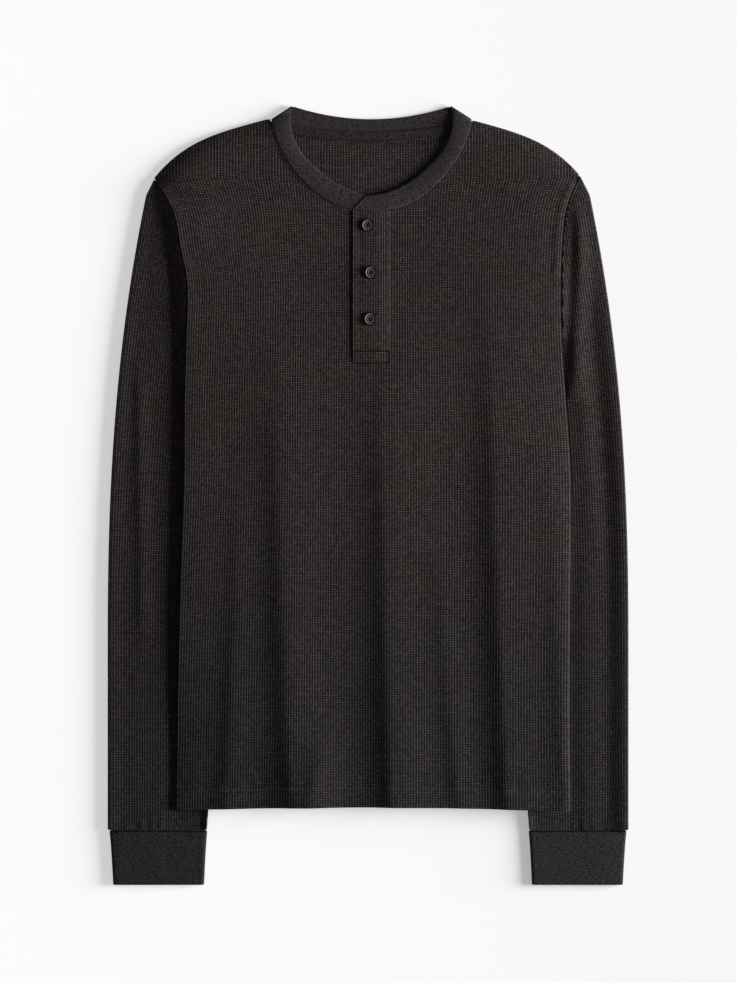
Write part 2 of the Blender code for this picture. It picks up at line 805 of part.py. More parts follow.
def make_neck_tape():
    """Tape over the back neck seam, on the inside of the band and the panel."""
    columns = []
    for across in spread(-TAPE_REACH, TAPE_REACH, TAPE_COLUMNS):
        top = TAPE_TOP + TAPE_RISE * (across / TAPE_REACH) ** 2
        columns.append([Point(NECK_X + across, y, RIB_WALL + PLY_GAP + TAPE_WALL)
                        for y in (top - TAPE_WIDTH, top)])
    sheet("neck_tape", columns, TAPE_WALL, TAPE_CHARCOAL)


def make_placket(name, half, foot, raised, lifted_edge):
    """A strip that follows the front's surface, raised over it, from its foot to the neckband."""
    columns = []
    for across in spread(-half, half, PLACKET_COLUMNS):
        x = NECK_X + across
        top = mix(NECK_SECTIONS[-1].seam_y, RIGHT_END[0].seam_y, 1 - (across / half) ** 2)
        top -= SEAM_GAP
        lift = raised + lifted_edge * (1 - ease((across + half) / PLACKET_EDGE_REACH))
        columns.append([Point(x, y, front_top(x, y) + lift)
                        for y in spread(foot, top, PLACKET_ROWS)])
    sheet(name, columns, WAFFLE_WALL, CHARCOAL)


# Buttons


def make_button(name, x, y):
    """A turned button with a raised rim and four holes drilled through."""
    mesh = bpy.data.meshes.new(name)
    points = [(out * MM, 0, up * MM) for out, up in BUTTON_PROFILE]
    mesh.from_pydata(points, [(k, k + 1) for k in range(len(points) - 1)], [])
    button = finish_piece(name, mesh, BUTTON_BLACK)
    seat = front_top(x, y) + PLY_GAP + WAFFLE_WALL + BUTTON_SEAT
    button.location = (x * MM, y * MM, seat * MM)
    screw = button.modifiers.new("turn", "SCREW")
    screw.steps = screw.render_steps = BUTTON_STEPS
    screw.use_merge_vertices = True
    screw.merge_threshold = 0.00001
    drill = drill_at(name + "_drill", button.location)
    holes = button.modifiers.new("holes", "BOOLEAN")
    holes.operation = "DIFFERENCE"
    holes.object = drill


def drill_at(name, location):
    """Four round cutters side by side, kept out of the part."""
    mesh = bpy.data.meshes.new(name)
    build = bmesh.new()
    for k in range(4):
        angle = math.pi / 4 + k * math.pi / 2
        made = bmesh.ops.create_cone(
            build, cap_ends=True, segments=DRILL_SIDES, radius1=BUTTON_HOLE_RADIUS * MM,
            radius2=BUTTON_HOLE_RADIUS * MM, depth=DRILL_LENGTH * MM,
        )
        shift = (BUTTON_HOLE_OUT * MM * math.cos(angle), BUTTON_HOLE_OUT * MM * math.sin(angle),
                 DRILL_MIDDLE * MM)
        bmesh.ops.translate(build, verts=made["verts"], vec=shift)
    build.to_mesh(mesh)
    build.free()
    drill = bpy.data.objects.new(name, mesh)
    drill.location = location
    drill.hide_render = True
    drill.display_type = "WIRE"
    cutters.objects.link(drill)
    return drill


for old in list(bpy.data.objects):
    bpy.data.objects.remove(old)
parts = bpy.data.collections.new("waffle_henley")
cutters = bpy.data.collections.new("cutters")
bpy.context.scene.collection.children.link(parts)
bpy.context.scene.collection.children.link(cutters)

make_back()
make_front()
make_sleeve("sleeve_left", -1)
make_sleeve("sleeve_right", 1)
make_cuff("cuff_left", -1)
make_cuff("cuff_right", 1)
make_neckband()
make_neck_tape()
make_placket("placket_under", SLIT_HALF - SEAM_GAP, PLACKET_FOOT + SEAM_GAP, 0.0, 0.0)
make_placket("placket_top", PLACKET_HALF, PLACKET_END, WAFFLE_WALL + PLY_GAP, PLACKET_LIFT)
for button in BUTTONS:
    make_button(*button)
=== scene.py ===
import math

import bpy
import numpy as np
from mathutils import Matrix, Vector


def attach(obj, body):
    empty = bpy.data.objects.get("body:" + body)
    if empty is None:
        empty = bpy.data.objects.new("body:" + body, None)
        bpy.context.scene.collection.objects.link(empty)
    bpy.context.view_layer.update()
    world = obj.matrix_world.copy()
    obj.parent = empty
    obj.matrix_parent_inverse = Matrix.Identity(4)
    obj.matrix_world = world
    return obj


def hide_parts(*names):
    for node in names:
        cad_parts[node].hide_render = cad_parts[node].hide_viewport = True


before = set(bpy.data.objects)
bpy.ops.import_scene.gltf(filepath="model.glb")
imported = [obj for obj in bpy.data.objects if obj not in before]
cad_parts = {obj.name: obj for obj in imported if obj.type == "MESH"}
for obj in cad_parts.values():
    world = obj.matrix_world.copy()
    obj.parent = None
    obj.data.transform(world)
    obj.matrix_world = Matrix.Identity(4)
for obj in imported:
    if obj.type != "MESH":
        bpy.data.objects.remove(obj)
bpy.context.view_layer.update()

# Front panel
# One piece of charcoal waffle knit, cut with a low round neck and a slit for the placket. It lies
# face up over the back with soft folds that grow towards the hem, and its cut edges turn under.
# Sizes here and below are millimetres on the table, with the neck towards +Y.

MM = 0.001
WALL = 1.5
SEAM_GAP = 0.35
MIDDLE = 3.5
COLUMNS, ROWS = 144, 296
LEFT_COLUMNS, SLIT_COLUMNS, SLIT_ROW = 73, 7, 189
CELL_WIDTH, CELL_HEIGHT, CELL_DEPTH = 2.639, 2.35, 0.42
HEM_SIDES, HEM_MIDDLE = -314.0, -310.5
HEM_DEPTH = 18.0
HEM_STITCHES_LEFT, HEM_STITCHES_RIGHT = -189.5, 198.5

# The shoulder line from the neck point out: its top, its slope, how it bends down, and how far
# the rows of cells droop towards it
NECK_POINT, SHOULDER_TOP = 98.0, 378.0
SHOULDER_SLOPE, SHOULDER_BEND = 0.27, 1.56e-7
SHOULDER_DROOP = 11.0

# Height of the front's underside at the shoulder's crease and where it lies over the sleeves, how
# far down the roll between them reaches, and what the front gains or loses near its edges
CREASE_LEVEL, FRONT_LEVEL, SHOULDER_ROLL = 1.85, 6.55, 34.0
EDGE_CROWN, CROWN_REACH = 1.7, 14.0
LEFT_LIFT, LEFT_REACH = 2.4, 30.0
RIGHT_LIFT, RIGHT_REACH = 3.4, 20.0
CHEST_DROP = 2.6

# Relief of the outer face: the cloth's unevenness, the hem's step, the pull of its stitches and
# their groove, the fall of the left edge, the roll at each armhole and the slanted creases there
RUMPLE, HEM_STEP, HEM_PULL, HEM_GROOVE = 0.22, 0.6, 0.2, 0.8
LEFT_FALL, ROLL_LEFT, ROLL_RIGHT, SLANT_CREASE = 1.6, 1.0, 0.9, 0.3

# Radius of the rolled edge by the slit and at the neck, and what runs on under the neckband
SLIT_ROLL, NECK_ROLL, NECK_ALLOWANCE = 0.3, 0.5, 3.6

# Body edge from hem to shoulder point: height, left, right
edge_y, edge_left, edge_right = np.array((
    (-314, -192.0, 201.0),
    (-204, -190.5, 200.0),
    (-104, -188.0, 201.0),
    (20, -184.0, 202.0),
    (96, -183.5, 197.5),
    (153, -182.0, 193.5),
    (213, -181.0, 192.8),
    (245, -187.0, 194.0),
    (280, -193.5, 197.0),
    (300, -202.5, 202.5),
    (318, -214.0, 211.0),
)).T

# Neckband from the shoulder down to the placket: seam across and up, free edge across and up
neck_rows = np.array((
    (100.5, 377.0, 79.5, 390.5),
    (97.5, 363.0, 80.8, 373.0),
    (92.0, 348.0, 76.5, 356.0),
    (82.0, 331.0, 68.5, 342.0),
    (68.0, 313.5, 56.5, 329.5),
    (50.0, 298.7, 41.5, 317.0),
    (33.0, 290.0, 27.0, 308.5),
    (18.5, 286.4, 14.0, 303.6),
))
seam_half, seam_top, edge_half, edge_top = neck_rows[0]

# Folds: place at the hem, place and height of the top, how high, and the reach of each flank
front_folds = (
    (-141, -128, 50, 2.8, 13, 30),
    (-73, -90, 180, 6.8, 21, 50),
    (-56, -46, -215, 3.4, 15, 26),
    (26, 16, 150, 7.6, 20, 60),
    (94, 72, -10, 3.4, 15, 30),
    (142, 125, 230, 8.2, 21, 120),
    (200, 184, 80, 3.0, 16, 60),
)


def mix(a, b, t):
    return a + (b - a) * t


def ease(t):
    """0 to 1 with a soft start and a soft end."""
    t = np.clip(t, 0, 1)
    return t * t * (3 - 2 * t)


def bell(distance, width):
    return np.exp(-((distance / width) ** 2))


def through(places, values, at):
    """A smooth curve through values, one or a row of them at each place."""
    places, values, at = (np.asarray(a, float) for a in (places, values, at))
    before = np.maximum(np.arange(len(places)) - 1, 0)
    after = np.minimum(np.arange(len(places)) + 1, len(places) - 1)
    runs = places[after] - places[before]
    slopes = (values[after] - values[before]) / (runs if values.ndim == 1 else runs[:, None])
    k = np.clip(np.searchsorted(places, at, side="right") - 1, 0, len(places) - 2)
    span = places[k + 1] - places[k]
    t = np.clip((at - places[k]) / span, 0, 1)
    if values.ndim > 1:
        span, t = span[..., None], t[..., None]
    bend = span * t * (1 - t) * (slopes[k] * (1 - t) - slopes[k + 1] * t)
    return mix(values[k], values[k + 1], ease(t)) + bend


def side(y, sign):
    """How far out the body's edge is, on the left (-1) or the right (1)."""
    return through(edge_y, -edge_left if sign < 0 else edge_right, y)


def from_edges(x, y):
    """How far in from the body's left edge and from its right one."""
    return x + side(y, -1), side(y, 1) - x


def hem(x):
    return mix(HEM_MIDDLE, HEM_SIDES, np.clip(np.abs(x) / 190, 0, 1) ** 2)


def shoulder(x):
    out = np.abs(x) - NECK_POINT
    return SHOULDER_TOP - SHOULDER_SLOPE * out - SHOULDER_BEND * np.maximum(out, 0) ** 4


def neck_at(place):
    """Rows of the neckband table at places between its rows."""
    return through(np.arange(len(neck_rows)), neck_rows, place)


neck_curve = neck_at(np.linspace(7, 0, 300))


def front_neck(across):
    return np.interp(across, neck_curve[:, 0], neck_curve[:, 1])


def front_top_edge(x):
    """Upper edge of the front: neck seam and shoulder line."""
    across = np.abs(x - MIDDLE)
    return np.where(across < seam_half, front_neck(across) - SEAM_GAP, shoulder(x))


def fold_height(x, y):
    total = 0.0
    for hem_x, top_x, top_y, height, left, right in front_folds:
        up = np.clip((y - HEM_SIDES) / (top_y - HEM_SIDES), 0, 1)
        crest = mix(hem_x, top_x, 1 - (1 - up) ** 1.7)
        reach = np.where(x < crest, left, right)
        total = total + height * (1 - ease(up)) ** 0.5 / (1 + ((x - crest) / reach) ** 2) ** 1.5
    return total


def edge_lift(x, y):
    """How much higher the front lies along its left edge and along its lower right edge."""
    from_left, from_right = from_edges(x, y)
    left = LEFT_LIFT * np.exp(-np.maximum(from_left, 0) / LEFT_REACH)
    right = RIGHT_LIFT * np.exp(-np.maximum(from_right, 0) / RIGHT_REACH)
    return left * ease((y + 240) / 120) * ease((330 - y) / 60) + right * ease((20 - y) / 200)


def chest_drop(x, y):
    """How much lower the front lies on the chest and round the neck, with no sleeve beneath it."""
    on_chest = ease((y - 205) / 60) * ease((x + 195) / 70)
    near_neck = ease((175 - np.abs(x - MIDDLE)) / 140) * ease((y - 150) / 100)
    return CHEST_DROP * (on_chest + near_neck) * ease((384 - y) / 40)


def front_under(x, y):
    """Height of the front's underside above the table."""
    from_left, from_right = from_edges(x, y)
    nearest = np.maximum(np.minimum(from_left, from_right), 0)
    crown = EDGE_CROWN * (1 - np.exp(-nearest / CROWN_REACH))
    folds = fold_height(x, y) * ease(np.minimum(from_left, from_right + 21) / 28)
    full = FRONT_LEVEL + crown + folds + edge_lift(x, y) - chest_drop(x, y)
    down = (shoulder(x) - y) * math.cos(math.atan(SHOULDER_SLOPE))
    return mix(CREASE_LEVEL, full, 1 - (1 - np.clip(down / SHOULDER_ROLL, 0, 1)) ** 2.4)


def front_face(x, y):
    """Outer face of the front, with its small unevenness, the hem's fold and its stitch groove."""
    up = y - hem(x)
    from_left, from_right = from_edges(x, y)
    rumple = RUMPLE * np.sin(x / 23 + 0.7 * np.sin(y / 41)) * np.sin(y / 57 + x / 90)
    band = HEM_STEP * (1 - ease((up - HEM_DEPTH + 3) / 4)) * ease(up / 2)
    pull = HEM_PULL * np.sin(x / 3.1 + 1.3 * np.sin(x / 17)) * bell(up - HEM_DEPTH - 4, 7)
    groove = HEM_GROOVE * bell(up - HEM_DEPTH - 1.8, 1.7)
    fall = LEFT_FALL * np.exp(-np.maximum(from_left, 0) / LEFT_REACH) * ease((-190 - y) / 90)
    roll_right = ROLL_RIGHT * bell(from_right - 5, 3.5) * ease((y - 196) / 30)
    roll_left = ROLL_LEFT * bell(from_left, 8) * ease((y - 150) / 40) * ease((318 - y) / 25)
    diagonals = np.sin((x - 0.8 * y) / 3.4) * bell(from_right - 7, 6) * bell(y - 232, 22)
    relief = rumple * ease(up / 60) + band + pull - groove - fall
    relief = relief + (roll_right + roll_left) + SLANT_CREASE * diagonals
    return front_under(x, y) + WALL + relief


def panel_place(u, v, inset):
    """Where the cloth at u across and v up from the hem lies; columns lean out at the shoulder."""
    x_near = u + MIDDLE
    droop = SHOULDER_DROOP * np.clip((np.abs(u) - 60) / 130, 0, 1) ** 1.6 * ease((v - 370) / 220)
    y = hem(x_near) + inset + v - droop
    sign = np.where(u < 0, -1, 1)
    reach = np.where(u < 0, side(y, -1) + MIDDLE, side(y, 1) - MIDDLE) - inset
    cut = np.where(u < 0, LEFT_COLUMNS, COLUMNS - LEFT_COLUMNS) * CELL_WIDTH
    x = MIDDLE + sign * (np.abs(u) + (reach - cut) * (np.abs(u) / cut) ** 1.8)
    return x, y


def column_tops(columns, top_edge, inset):
    """How many rows up each column ends under its top edge."""
    u = (columns - LEFT_COLUMNS) * CELL_WIDTH
    low, high = np.zeros(len(u)), np.full(len(u), 730.0)
    for _ in range(34):
        middle = (low + high) / 2
        x, y = panel_place(u, middle, inset)
        slope = top_edge(x + 0.5) - top_edge(x - 0.5)
        above = y > top_edge(x) - inset * np.sqrt(1 + slope**2)
        low, high = np.where(above, low, middle), np.where(above, middle, high)
    return low / CELL_HEIGHT


def waffle_lattice(columns, rows):
    """Rib crossings, then a pit in the middle of each cell, with four faces to a cell."""
    i, j = (a.ravel() for a in np.meshgrid(range(columns + 1), range(rows + 1), indexing="ij"))
    crossings = np.stack([i, j], 1).astype(float)
    i, j = (a.ravel() for a in np.meshgrid(range(columns), range(rows), indexing="ij"))
    pits = np.stack([i, j], 1) + 0.5
    ring = [(i + a) * (rows + 1) + j + b for a, b in ((0, 0), (1, 0), (1, 1), (0, 1))]
    pit = len(crossings) + np.arange(len(pits))
    faces = [np.stack([ring[k], ring[(k + 1) % 4], pit], 1) for k in range(4)]
    sunk = np.arange(len(crossings) + len(pits)) >= len(crossings)
    return np.concatenate([crossings, pits]), sunk.astype(float), np.concatenate(faces)


def welded(cells, sunk, faces):
    """Points moved onto each other become one, and faces that then lie back to back cancel out."""
    _, first, owner = np.unique(np.round(cells, 4), axis=0, return_index=True, return_inverse=True)
    faces = owner.ravel()[faces]
    a, b, c = faces.T
    faces = faces[(a != b) & (b != c) & (c != a)]
    a, b, c = faces.T
    facing = np.where((a < b).astype(int) + (b < c) + (c < a) == 2, 1, -1)
    faces, which = np.unique(np.sort(faces, 1), axis=0, return_inverse=True)
    total = np.zeros(len(faces), int)
    np.add.at(total, which.ravel(), facing)
    faces = np.where(total[:, None] < 0, faces[:, ::-1], faces)[total != 0]
    used, faces = np.unique(faces, return_inverse=True)
    return cells[first][used], sunk[first][used], faces.reshape(-1, 3)


def unit(vectors):
    return vectors / np.maximum(np.linalg.norm(vectors, axis=-1, keepdims=True), 1e-9)


def run_along(path):
    """How far along a path each of its points lies."""
    return np.concatenate([[0], np.cumsum(np.linalg.norm(np.diff(path, axis=0), axis=1))])


def open_edges(faces):
    """Edges with a face on one side only, each in the direction of its face."""
    edges = np.concatenate([faces[:, [0, 1]], faces[:, [1, 2]], faces[:, [2, 0]]])
    low, high = edges.min(1), edges.max(1)
    _, first, uses = np.unique(low * (faces.max() + 1) + high, return_index=True, return_counts=True)
    return edges[first[uses == 1]]


def skirt(inner, outer):
    """Two faces between each edge of one rim and the same edge of the next."""
    return [np.stack([inner[:, 1], inner[:, 0], outer[:, 0]], 1),
            np.stack([inner[:, 1], outer[:, 0], outer[:, 1]], 1)]


def rolled_edge(points, cloth, faces, radius, allowance=None, steps=3):
    """Every open edge is rolled a quarter turn away from the outer face.

    allowance says how far the cloth at each point then runs on, hidden under its neighbour.
    """
    corners = points[faces]
    across = np.cross(corners[:, 1] - corners[:, 0], corners[:, 2] - corners[:, 0])
    normals = np.zeros_like(points)
    for k in range(3):
        np.add.at(normals, faces[:, k], across)
    normals = unit(normals)
    rim = open_edges(faces)
    outward, cloth_out = np.zeros_like(points), np.zeros_like(cloth)
    start, end = rim.T
    out = unit(np.cross(points[end] - points[start], normals[start] + normals[end]))
    run = cloth[end] - cloth[start]
    turn = unit(np.stack([run[:, 1], -run[:, 0]], 1))
    for ends in (start, end):
        np.add.at(outward, ends, out)
        np.add.at(cloth_out, ends, turn)
    who = np.unique(rim)
    radius = np.broadcast_to(radius, len(points))[who, None]
    place = np.zeros(len(points), int)
    place[who] = np.arange(len(who))
    all_points, all_cloth, all_faces = [points], [cloth], [faces]
    inner = rim
    for step in range(1, steps + 1):
        angle = math.pi / 2 * step / steps
        all_points.append(points[who] + unit(outward[who]) * radius * math.sin(angle)
                          - normals[who] * radius * (1 - math.cos(angle)))
        all_cloth.append(cloth[who] + unit(cloth_out[who]) * radius * angle)
        outer = len(points) + (step - 1) * len(who) + place[rim]
        all_faces += skirt(inner, outer)
        inner = outer
    if allowance is not None:
        run_on = allowance[who, None]
        all_points.append(points[who] + unit(outward[who]) * (radius + run_on)
                          - normals[who] * (radius + 0.8 * (run_on > 0)))
        all_cloth.append(cloth[who] + unit(cloth_out[who]) * (radius * math.pi / 2 + run_on))
        outer = len(points) + steps * len(who) + place[rim]
        under = (allowance[rim] > 0).all(1)
        all_faces += skirt(inner[under], outer[under])
    points, cloth, faces = (np.concatenate(a) for a in (all_points, all_cloth, all_faces))
    used, faces = np.unique(faces, return_inverse=True)
    return points[used], cloth[used], faces.reshape(-1, 3)


def laid_on(face, x, y, sunk=0.0):
    """Points that lie on a face, or sunk below it."""
    return np.stack([x, y, face(x, y) - sunk], 1)


def placed(name, data):
    """An object linked into the scene."""
    item = bpy.data.objects.new(name, data)
    bpy.context.scene.collection.objects.link(item)
    return item


def new_piece(name, points, cloth, faces, material, *nodes):
    """A piece from points in millimetres, with the cloth's own measure as its UV map."""
    mesh = bpy.data.meshes.new(name)
    mesh.from_pydata((points * MM).tolist(), [], faces.tolist())
    corners = np.empty(len(mesh.loops), int)
    mesh.loops.foreach_get("vertex_index", corners)
    layer = mesh.uv_layers.new(name="cloth")
    layer.data.foreach_set("uv", cloth[corners].astype(np.float32).ravel())
    mesh.shade_smooth()
    mesh.materials.append(material)
    piece = placed(name, mesh)
    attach(piece, "root")
    if nodes:
        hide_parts(*nodes)
    return piece


def set_inputs(tree, node, inputs):
    """Each input is a number, a colour or a socket to link."""
    for name, value in inputs.items():
        if isinstance(value, bpy.types.NodeSocket):
            tree.links.new(value, node.inputs[name])
        else:
            node.inputs[name].default_value = value


def add_node(tree, kind, settings, inputs):
    """A shader node with its settings and its inputs."""
    made = tree.nodes.new(kind)
    for name, value in settings.items():
        setattr(made, name, value)
    set_inputs(tree, made, inputs)
    return made


def calc(tree, operation, *values):
    """One sum of shader values."""
    return add_node(tree, "ShaderNodeMath", {"operation": operation}, dict(enumerate(values))).outputs[0]


def ramp(tree, value, low, high, start, end, smooth=True):
    kind = "SMOOTHSTEP" if smooth else "LINEAR"
    inputs = {"Value": value, "From Min": low, "From Max": high, "To Min": start, "To Max": end}
    return add_node(tree, "ShaderNodeMapRange", {"interpolation_type": kind}, inputs).outputs[0]


def parts_of(tree, place):
    """How far across, along and up a place is."""
    return add_node(tree, "ShaderNodeSeparateXYZ", {}, {0: place}).outputs


def scaled(tree, colour, by):
    inputs = {0: colour, "Scale": by}
    return add_node(tree, "ShaderNodeVectorMath", {"operation": "SCALE"}, inputs).outputs[0]


def blended(tree, share, first, second):
    """From the first colour at 0 to the second at 1."""
    inputs = {0: share, 6: first, 7: second}
    return add_node(tree, "ShaderNodeMix", {"data_type": "RGBA"}, inputs).outputs[2]


def off_line(tree, place, pitch):
    """0 on each line of an even row, rising to 0.5 half way to the next line."""
    return calc(tree, "PINGPONG", calc(tree, "DIVIDE", place, pitch), 0.5)


def stretched_noise(tree, cloth, scale, detail, roughness=0.55):
    """Noise with its own number of grains to a millimetre across and along."""
    shape = add_node(tree, "ShaderNodeVectorMath", {"operation": "MULTIPLY"}, {0: cloth, 1: scale})
    inputs = {"Vector": shape.outputs[0], "Scale": 1.0, "Detail": detail, "Roughness": roughness}
    return add_node(tree, "ShaderNodeTexNoise", {}, inputs).outputs[0]


def new_group(name, inputs, outputs):
    """An empty shader group with named sockets, and its input and output ends."""
    group = bpy.data.node_groups.new(name, "ShaderNodeTree")
    for label, kind, value in inputs:
        group.interface.new_socket(label, in_out="INPUT", socket_type=kind).default_value = value
    for label, kind in outputs:
        group.interface.new_socket(label, in_out="OUTPUT", socket_type=kind)
    return group, group.nodes.new("NodeGroupInput").outputs, group.nodes.new("NodeGroupOutput").inputs


def heather_yarn_group():
    """Dyed and undyed fibres spun together: flecks, and slubs that run along the courses."""
    group, given, result = new_group(
        "heather yarn",
        (("Cloth", "NodeSocketVector", (0, 0, 0)), ("Cool", "NodeSocketColor", (0.5, 0.5, 0.5, 1)),
         ("Warm", "NodeSocketColor", (0.5, 0.5, 0.5, 1)), ("Fleck", "NodeSocketFloat", 0.5)),
        (("Color", "NodeSocketColor"), ("Fibres", "NodeSocketFloat")),
    )
    slubs = stretched_noise(group, given["Cloth"], (0.03, 0.43, 1), 3)
    patches = stretched_noise(group, given["Cloth"], (0.011, 0.02, 1), 2)
    flecks = stretched_noise(group, given["Cloth"], (0.3, 1.1, 1), 4, 0.75)
    warmth = ramp(group, calc(group, "ADD", calc(group, "MULTIPLY", slubs, 0.6),
                              calc(group, "MULTIPLY", patches, 0.4)), 0.42, 0.58, 0, 1)
    hue = blended(group, warmth, given["Cool"], given["Warm"])
    spread = calc(group, "MULTIPLY", calc(group, "SUBTRACT", flecks, 0.5), given["Fleck"])
    tone = calc(group, "ADD", calc(group, "MULTIPLY", spread, 2.0),
                ramp(group, slubs, 0.3, 0.7, 0.82, 1.18, False))
    tone = calc(group, "MAXIMUM", tone, 0.15)
    group.links.new(scaled(group, hue, tone), result["Color"])
    group.links.new(flecks, result["Fibres"])
    return group


def waffle_group():
    """Square cells: rounded ribs up and across, with a sunk pit between them."""
    group, given, result = new_group(
        "waffle cells",
        (("Cloth", "NodeSocketVector", (0, 0, 0)), ("Cell Width", "NodeSocketFloat", CELL_WIDTH),
         ("Cell Height", "NodeSocketFloat", CELL_HEIGHT)),
        (("Ribs", "NodeSocketFloat"), ("Pit", "NodeSocketFloat"), ("Uneven", "NodeSocketFloat")),
    )
    parts = parts_of(group, given["Cloth"])
    ribs = []
    for place, size, inner, outer, height in (
        (parts[0], given["Cell Width"], 0.06, 0.34, 1.0),
        (parts[1], given["Cell Height"], 0.05, 0.32, 0.8),
    ):
        ribs.append(ramp(group, off_line(group, place, size), inner, outer, height, 0))
    raised = calc(group, "SMOOTH_MAX", *ribs, 0.15)
    across = calc(group, "ROUND", calc(group, "DIVIDE", parts[0], given["Cell Width"]))
    along = calc(group, "ROUND", calc(group, "DIVIDE", parts[1], given["Cell Height"]))
    which = add_node(group, "ShaderNodeCombineXYZ", {}, {0: across, 1: along}).outputs[0]
    uneven = add_node(group, "ShaderNodeTexWhiteNoise", {"noise_dimensions": "2D"}, {"Vector": which})
    group.links.new(raised, result["Ribs"])
    group.links.new(ramp(group, raised, 0.05, 0.75, 1, 0), result["Pit"])
    group.links.new(uneven.outputs[0], result["Uneven"])
    return group


heather_yarn = heather_yarn_group()
waffle_cells = waffle_group()
CLOTH_SHINE, CLOTH_SHEEN = 0.15, 0.06


def new_material(name):
    """An empty cloth material: its tree, its shader and the cloth measure."""
    material = bpy.data.materials.new(name)
    material.use_nodes = True
    tree = material.node_tree
    cloth = add_node(tree, "ShaderNodeUVMap", {"uv_map": "cloth"}, {}).outputs[0]
    return material, tree, tree.nodes["Principled BSDF"], cloth


def use_group(tree, group, inputs):
    return add_node(tree, "ShaderNodeGroup", {"node_tree": group}, inputs).outputs


def spun_yarn(tree, cloth, cool, warm, fleck):
    """Heather yarn that wanders between a cooler and a warmer colour."""
    inputs = {"Cloth": cloth, "Cool": (*cool, 1), "Warm": (*warm, 1), "Fleck": fleck}
    return use_group(tree, heather_yarn, inputs)


def give_surface(tree, shader, colour, relief, depth, roughness, specular, sheen=0.0):
    """A material's colour, its fine relief in metres, and how it shines."""
    bump = add_node(tree, "ShaderNodeBump", {}, {"Height": relief, "Distance": depth})
    set_inputs(tree, shader, {
        "Base Color": colour, "Normal": bump.outputs[0], "Roughness": roughness,
        "Specular IOR Level": specular, "Sheen Weight": sheen,
    })


def waffle_knit():
    """Charcoal heather waffle knit, matt and a little hairy, with painted shade that makes its pits and
    its lower part towards the hem deeper and greyer.
    """
    material, tree, shader, cloth = new_material("waffle_knit")
    yarn = spun_yarn(tree, cloth, (0.0394, 0.0304, 0.0324), (0.0413, 0.0318, 0.0277), 0.7)
    cells = use_group(tree, waffle_cells, {"Cloth": cloth})
    # Painted shade: each pit is darkened in the colour, down to a small share of it, as the shade in a
    # waffle's pits. Each cell also gets its own random tone.
    painted_pit_shade_and_cell_tone = calc(tree, "MULTIPLY", ramp(tree, cells["Pit"], 0, 1, 1.2, 0.03, False),
                 ramp(tree, cells["Uneven"], 0, 1, 0.65, 1.35, False))
    # Painted shade: towards the hem the colour is blended to a deeper, neutral grey, standing in for the
    # light fading down the garment.
    painted_hem_shade = ramp(tree, parts_of(tree, cloth)[1], 60, 440, 0.5, 0)
    painted_shade_grey_share = calc(tree, "MAXIMUM", calc(tree, "MULTIPLY", cells["Pit"], 0.7), painted_hem_shade)
    painted_shade_yarn = blended(tree, painted_shade_grey_share, yarn["Color"], (0.0215, 0.0215, 0.0222, 1))
    relief = calc(tree, "ADD", cells["Ribs"], calc(tree, "MULTIPLY", yarn["Fibres"], 0.35))
    matt = ramp(tree, yarn["Fibres"], 0.3, 0.7, 0.84, 0.96)
    give_surface(tree, shader, scaled(tree, painted_shade_yarn, painted_pit_shade_and_cell_tone), relief, 0.0005, matt, CLOTH_SHINE, CLOTH_SHEEN)
    return material


body_knit = waffle_knit()

cells, sunk, faces = waffle_lattice(COLUMNS, ROWS)
halves = np.arange(0, COLUMNS + 0.5, 0.5)
tops = column_tops(halves, front_top_edge, WALL)[(2 * cells[:, 0]).astype(int)]
sunk *= cells[:, 1] < tops - 0.8
cells[:, 1] = np.minimum(cells[:, 1], tops)
centre = cells[faces].mean(1)
in_slit = (np.abs(centre[:, 0] - LEFT_COLUMNS) < SLIT_COLUMNS) & (centre[:, 1] > SLIT_ROW)
cells, sunk, faces = welded(cells, sunk, faces[~in_slit])
cloth = cells * (CELL_WIDTH, CELL_HEIGHT)
x, y = panel_place(cloth[:, 0] - LEFT_COLUMNS * CELL_WIDTH, cloth[:, 1], WALL)
points = laid_on(front_face, x, y, CELL_DEPTH * sunk)
by_slit = (np.abs(x - MIDDLE) < 19) & (y > 130)
at_neck = (np.abs(x - MIDDLE) < seam_half + 1) & (y > 280)
radius = np.where(by_slit, SLIT_ROLL, np.where(at_neck, NECK_ROLL, WALL))
rolled = rolled_edge(points, cloth, faces, radius, np.where(at_neck, NECK_ALLOWANCE, 0))
front = new_piece("front_panel", *rolled, body_knit, "front")


def stitch_row(path, length=2.1, gap=1.0, width=0.5, height=0.36):
    """Single stitches along a path of points that lie on the cloth, each a small spindle."""
    run = run_along(path)
    count = max(int(run[-1] / (length + gap)), 1)
    pitch = run[-1] / count
    starts = np.arange(count) * pitch + gap / 2
    ends = starts + pitch - gap
    a, b = (np.stack([np.interp(t, run, path[:, k]) for k in range(3)], 1) for t in (starts, ends))
    along = b - a
    across = unit(np.cross(along, (0, 0, 1)))
    points, cloth, faces = [], [], []
    for share, size in ((0, 0.0), (0.18, 1.0), (0.82, 1.0), (1, 0.0)):
        for k in range(6):
            angle = math.tau * k / 6
            lift = np.array((0, 0, height * size * (0.3 + math.sin(angle))))
            points.append(a + along * share + across * width / 2 * size * math.cos(angle) + lift)
            cloth.append(np.stack([starts + share * length, np.full(count, k * 0.3)], 1))
    for ring in range(3):
        for k in range(6):
            after = (k + 1) % 6
            faces.append((ring * 6 + k, ring * 6 + after, ring * 6 + 6 + after, ring * 6 + 6 + k))
    points = np.stack(points, 1).reshape(-1, 3)
    cloth = np.stack(cloth, 1).reshape(-1, 2)
    faces = np.array(faces)[None, :, ::-1] + 24 * np.arange(count)[:, None, None]
    return points, cloth, faces.reshape(-1, 4)


def joined(parts):
    """Several sets of points, cloth measure and faces as one."""
    points, cloth, faces, start = [], [], [], 0
    for some_points, some_cloth, some_faces in parts:
        points.append(some_points)
        cloth.append(some_cloth)
        faces.append(some_faces + start)
        start += len(some_points)
    return np.concatenate(points), np.concatenate(cloth), np.concatenate(faces)


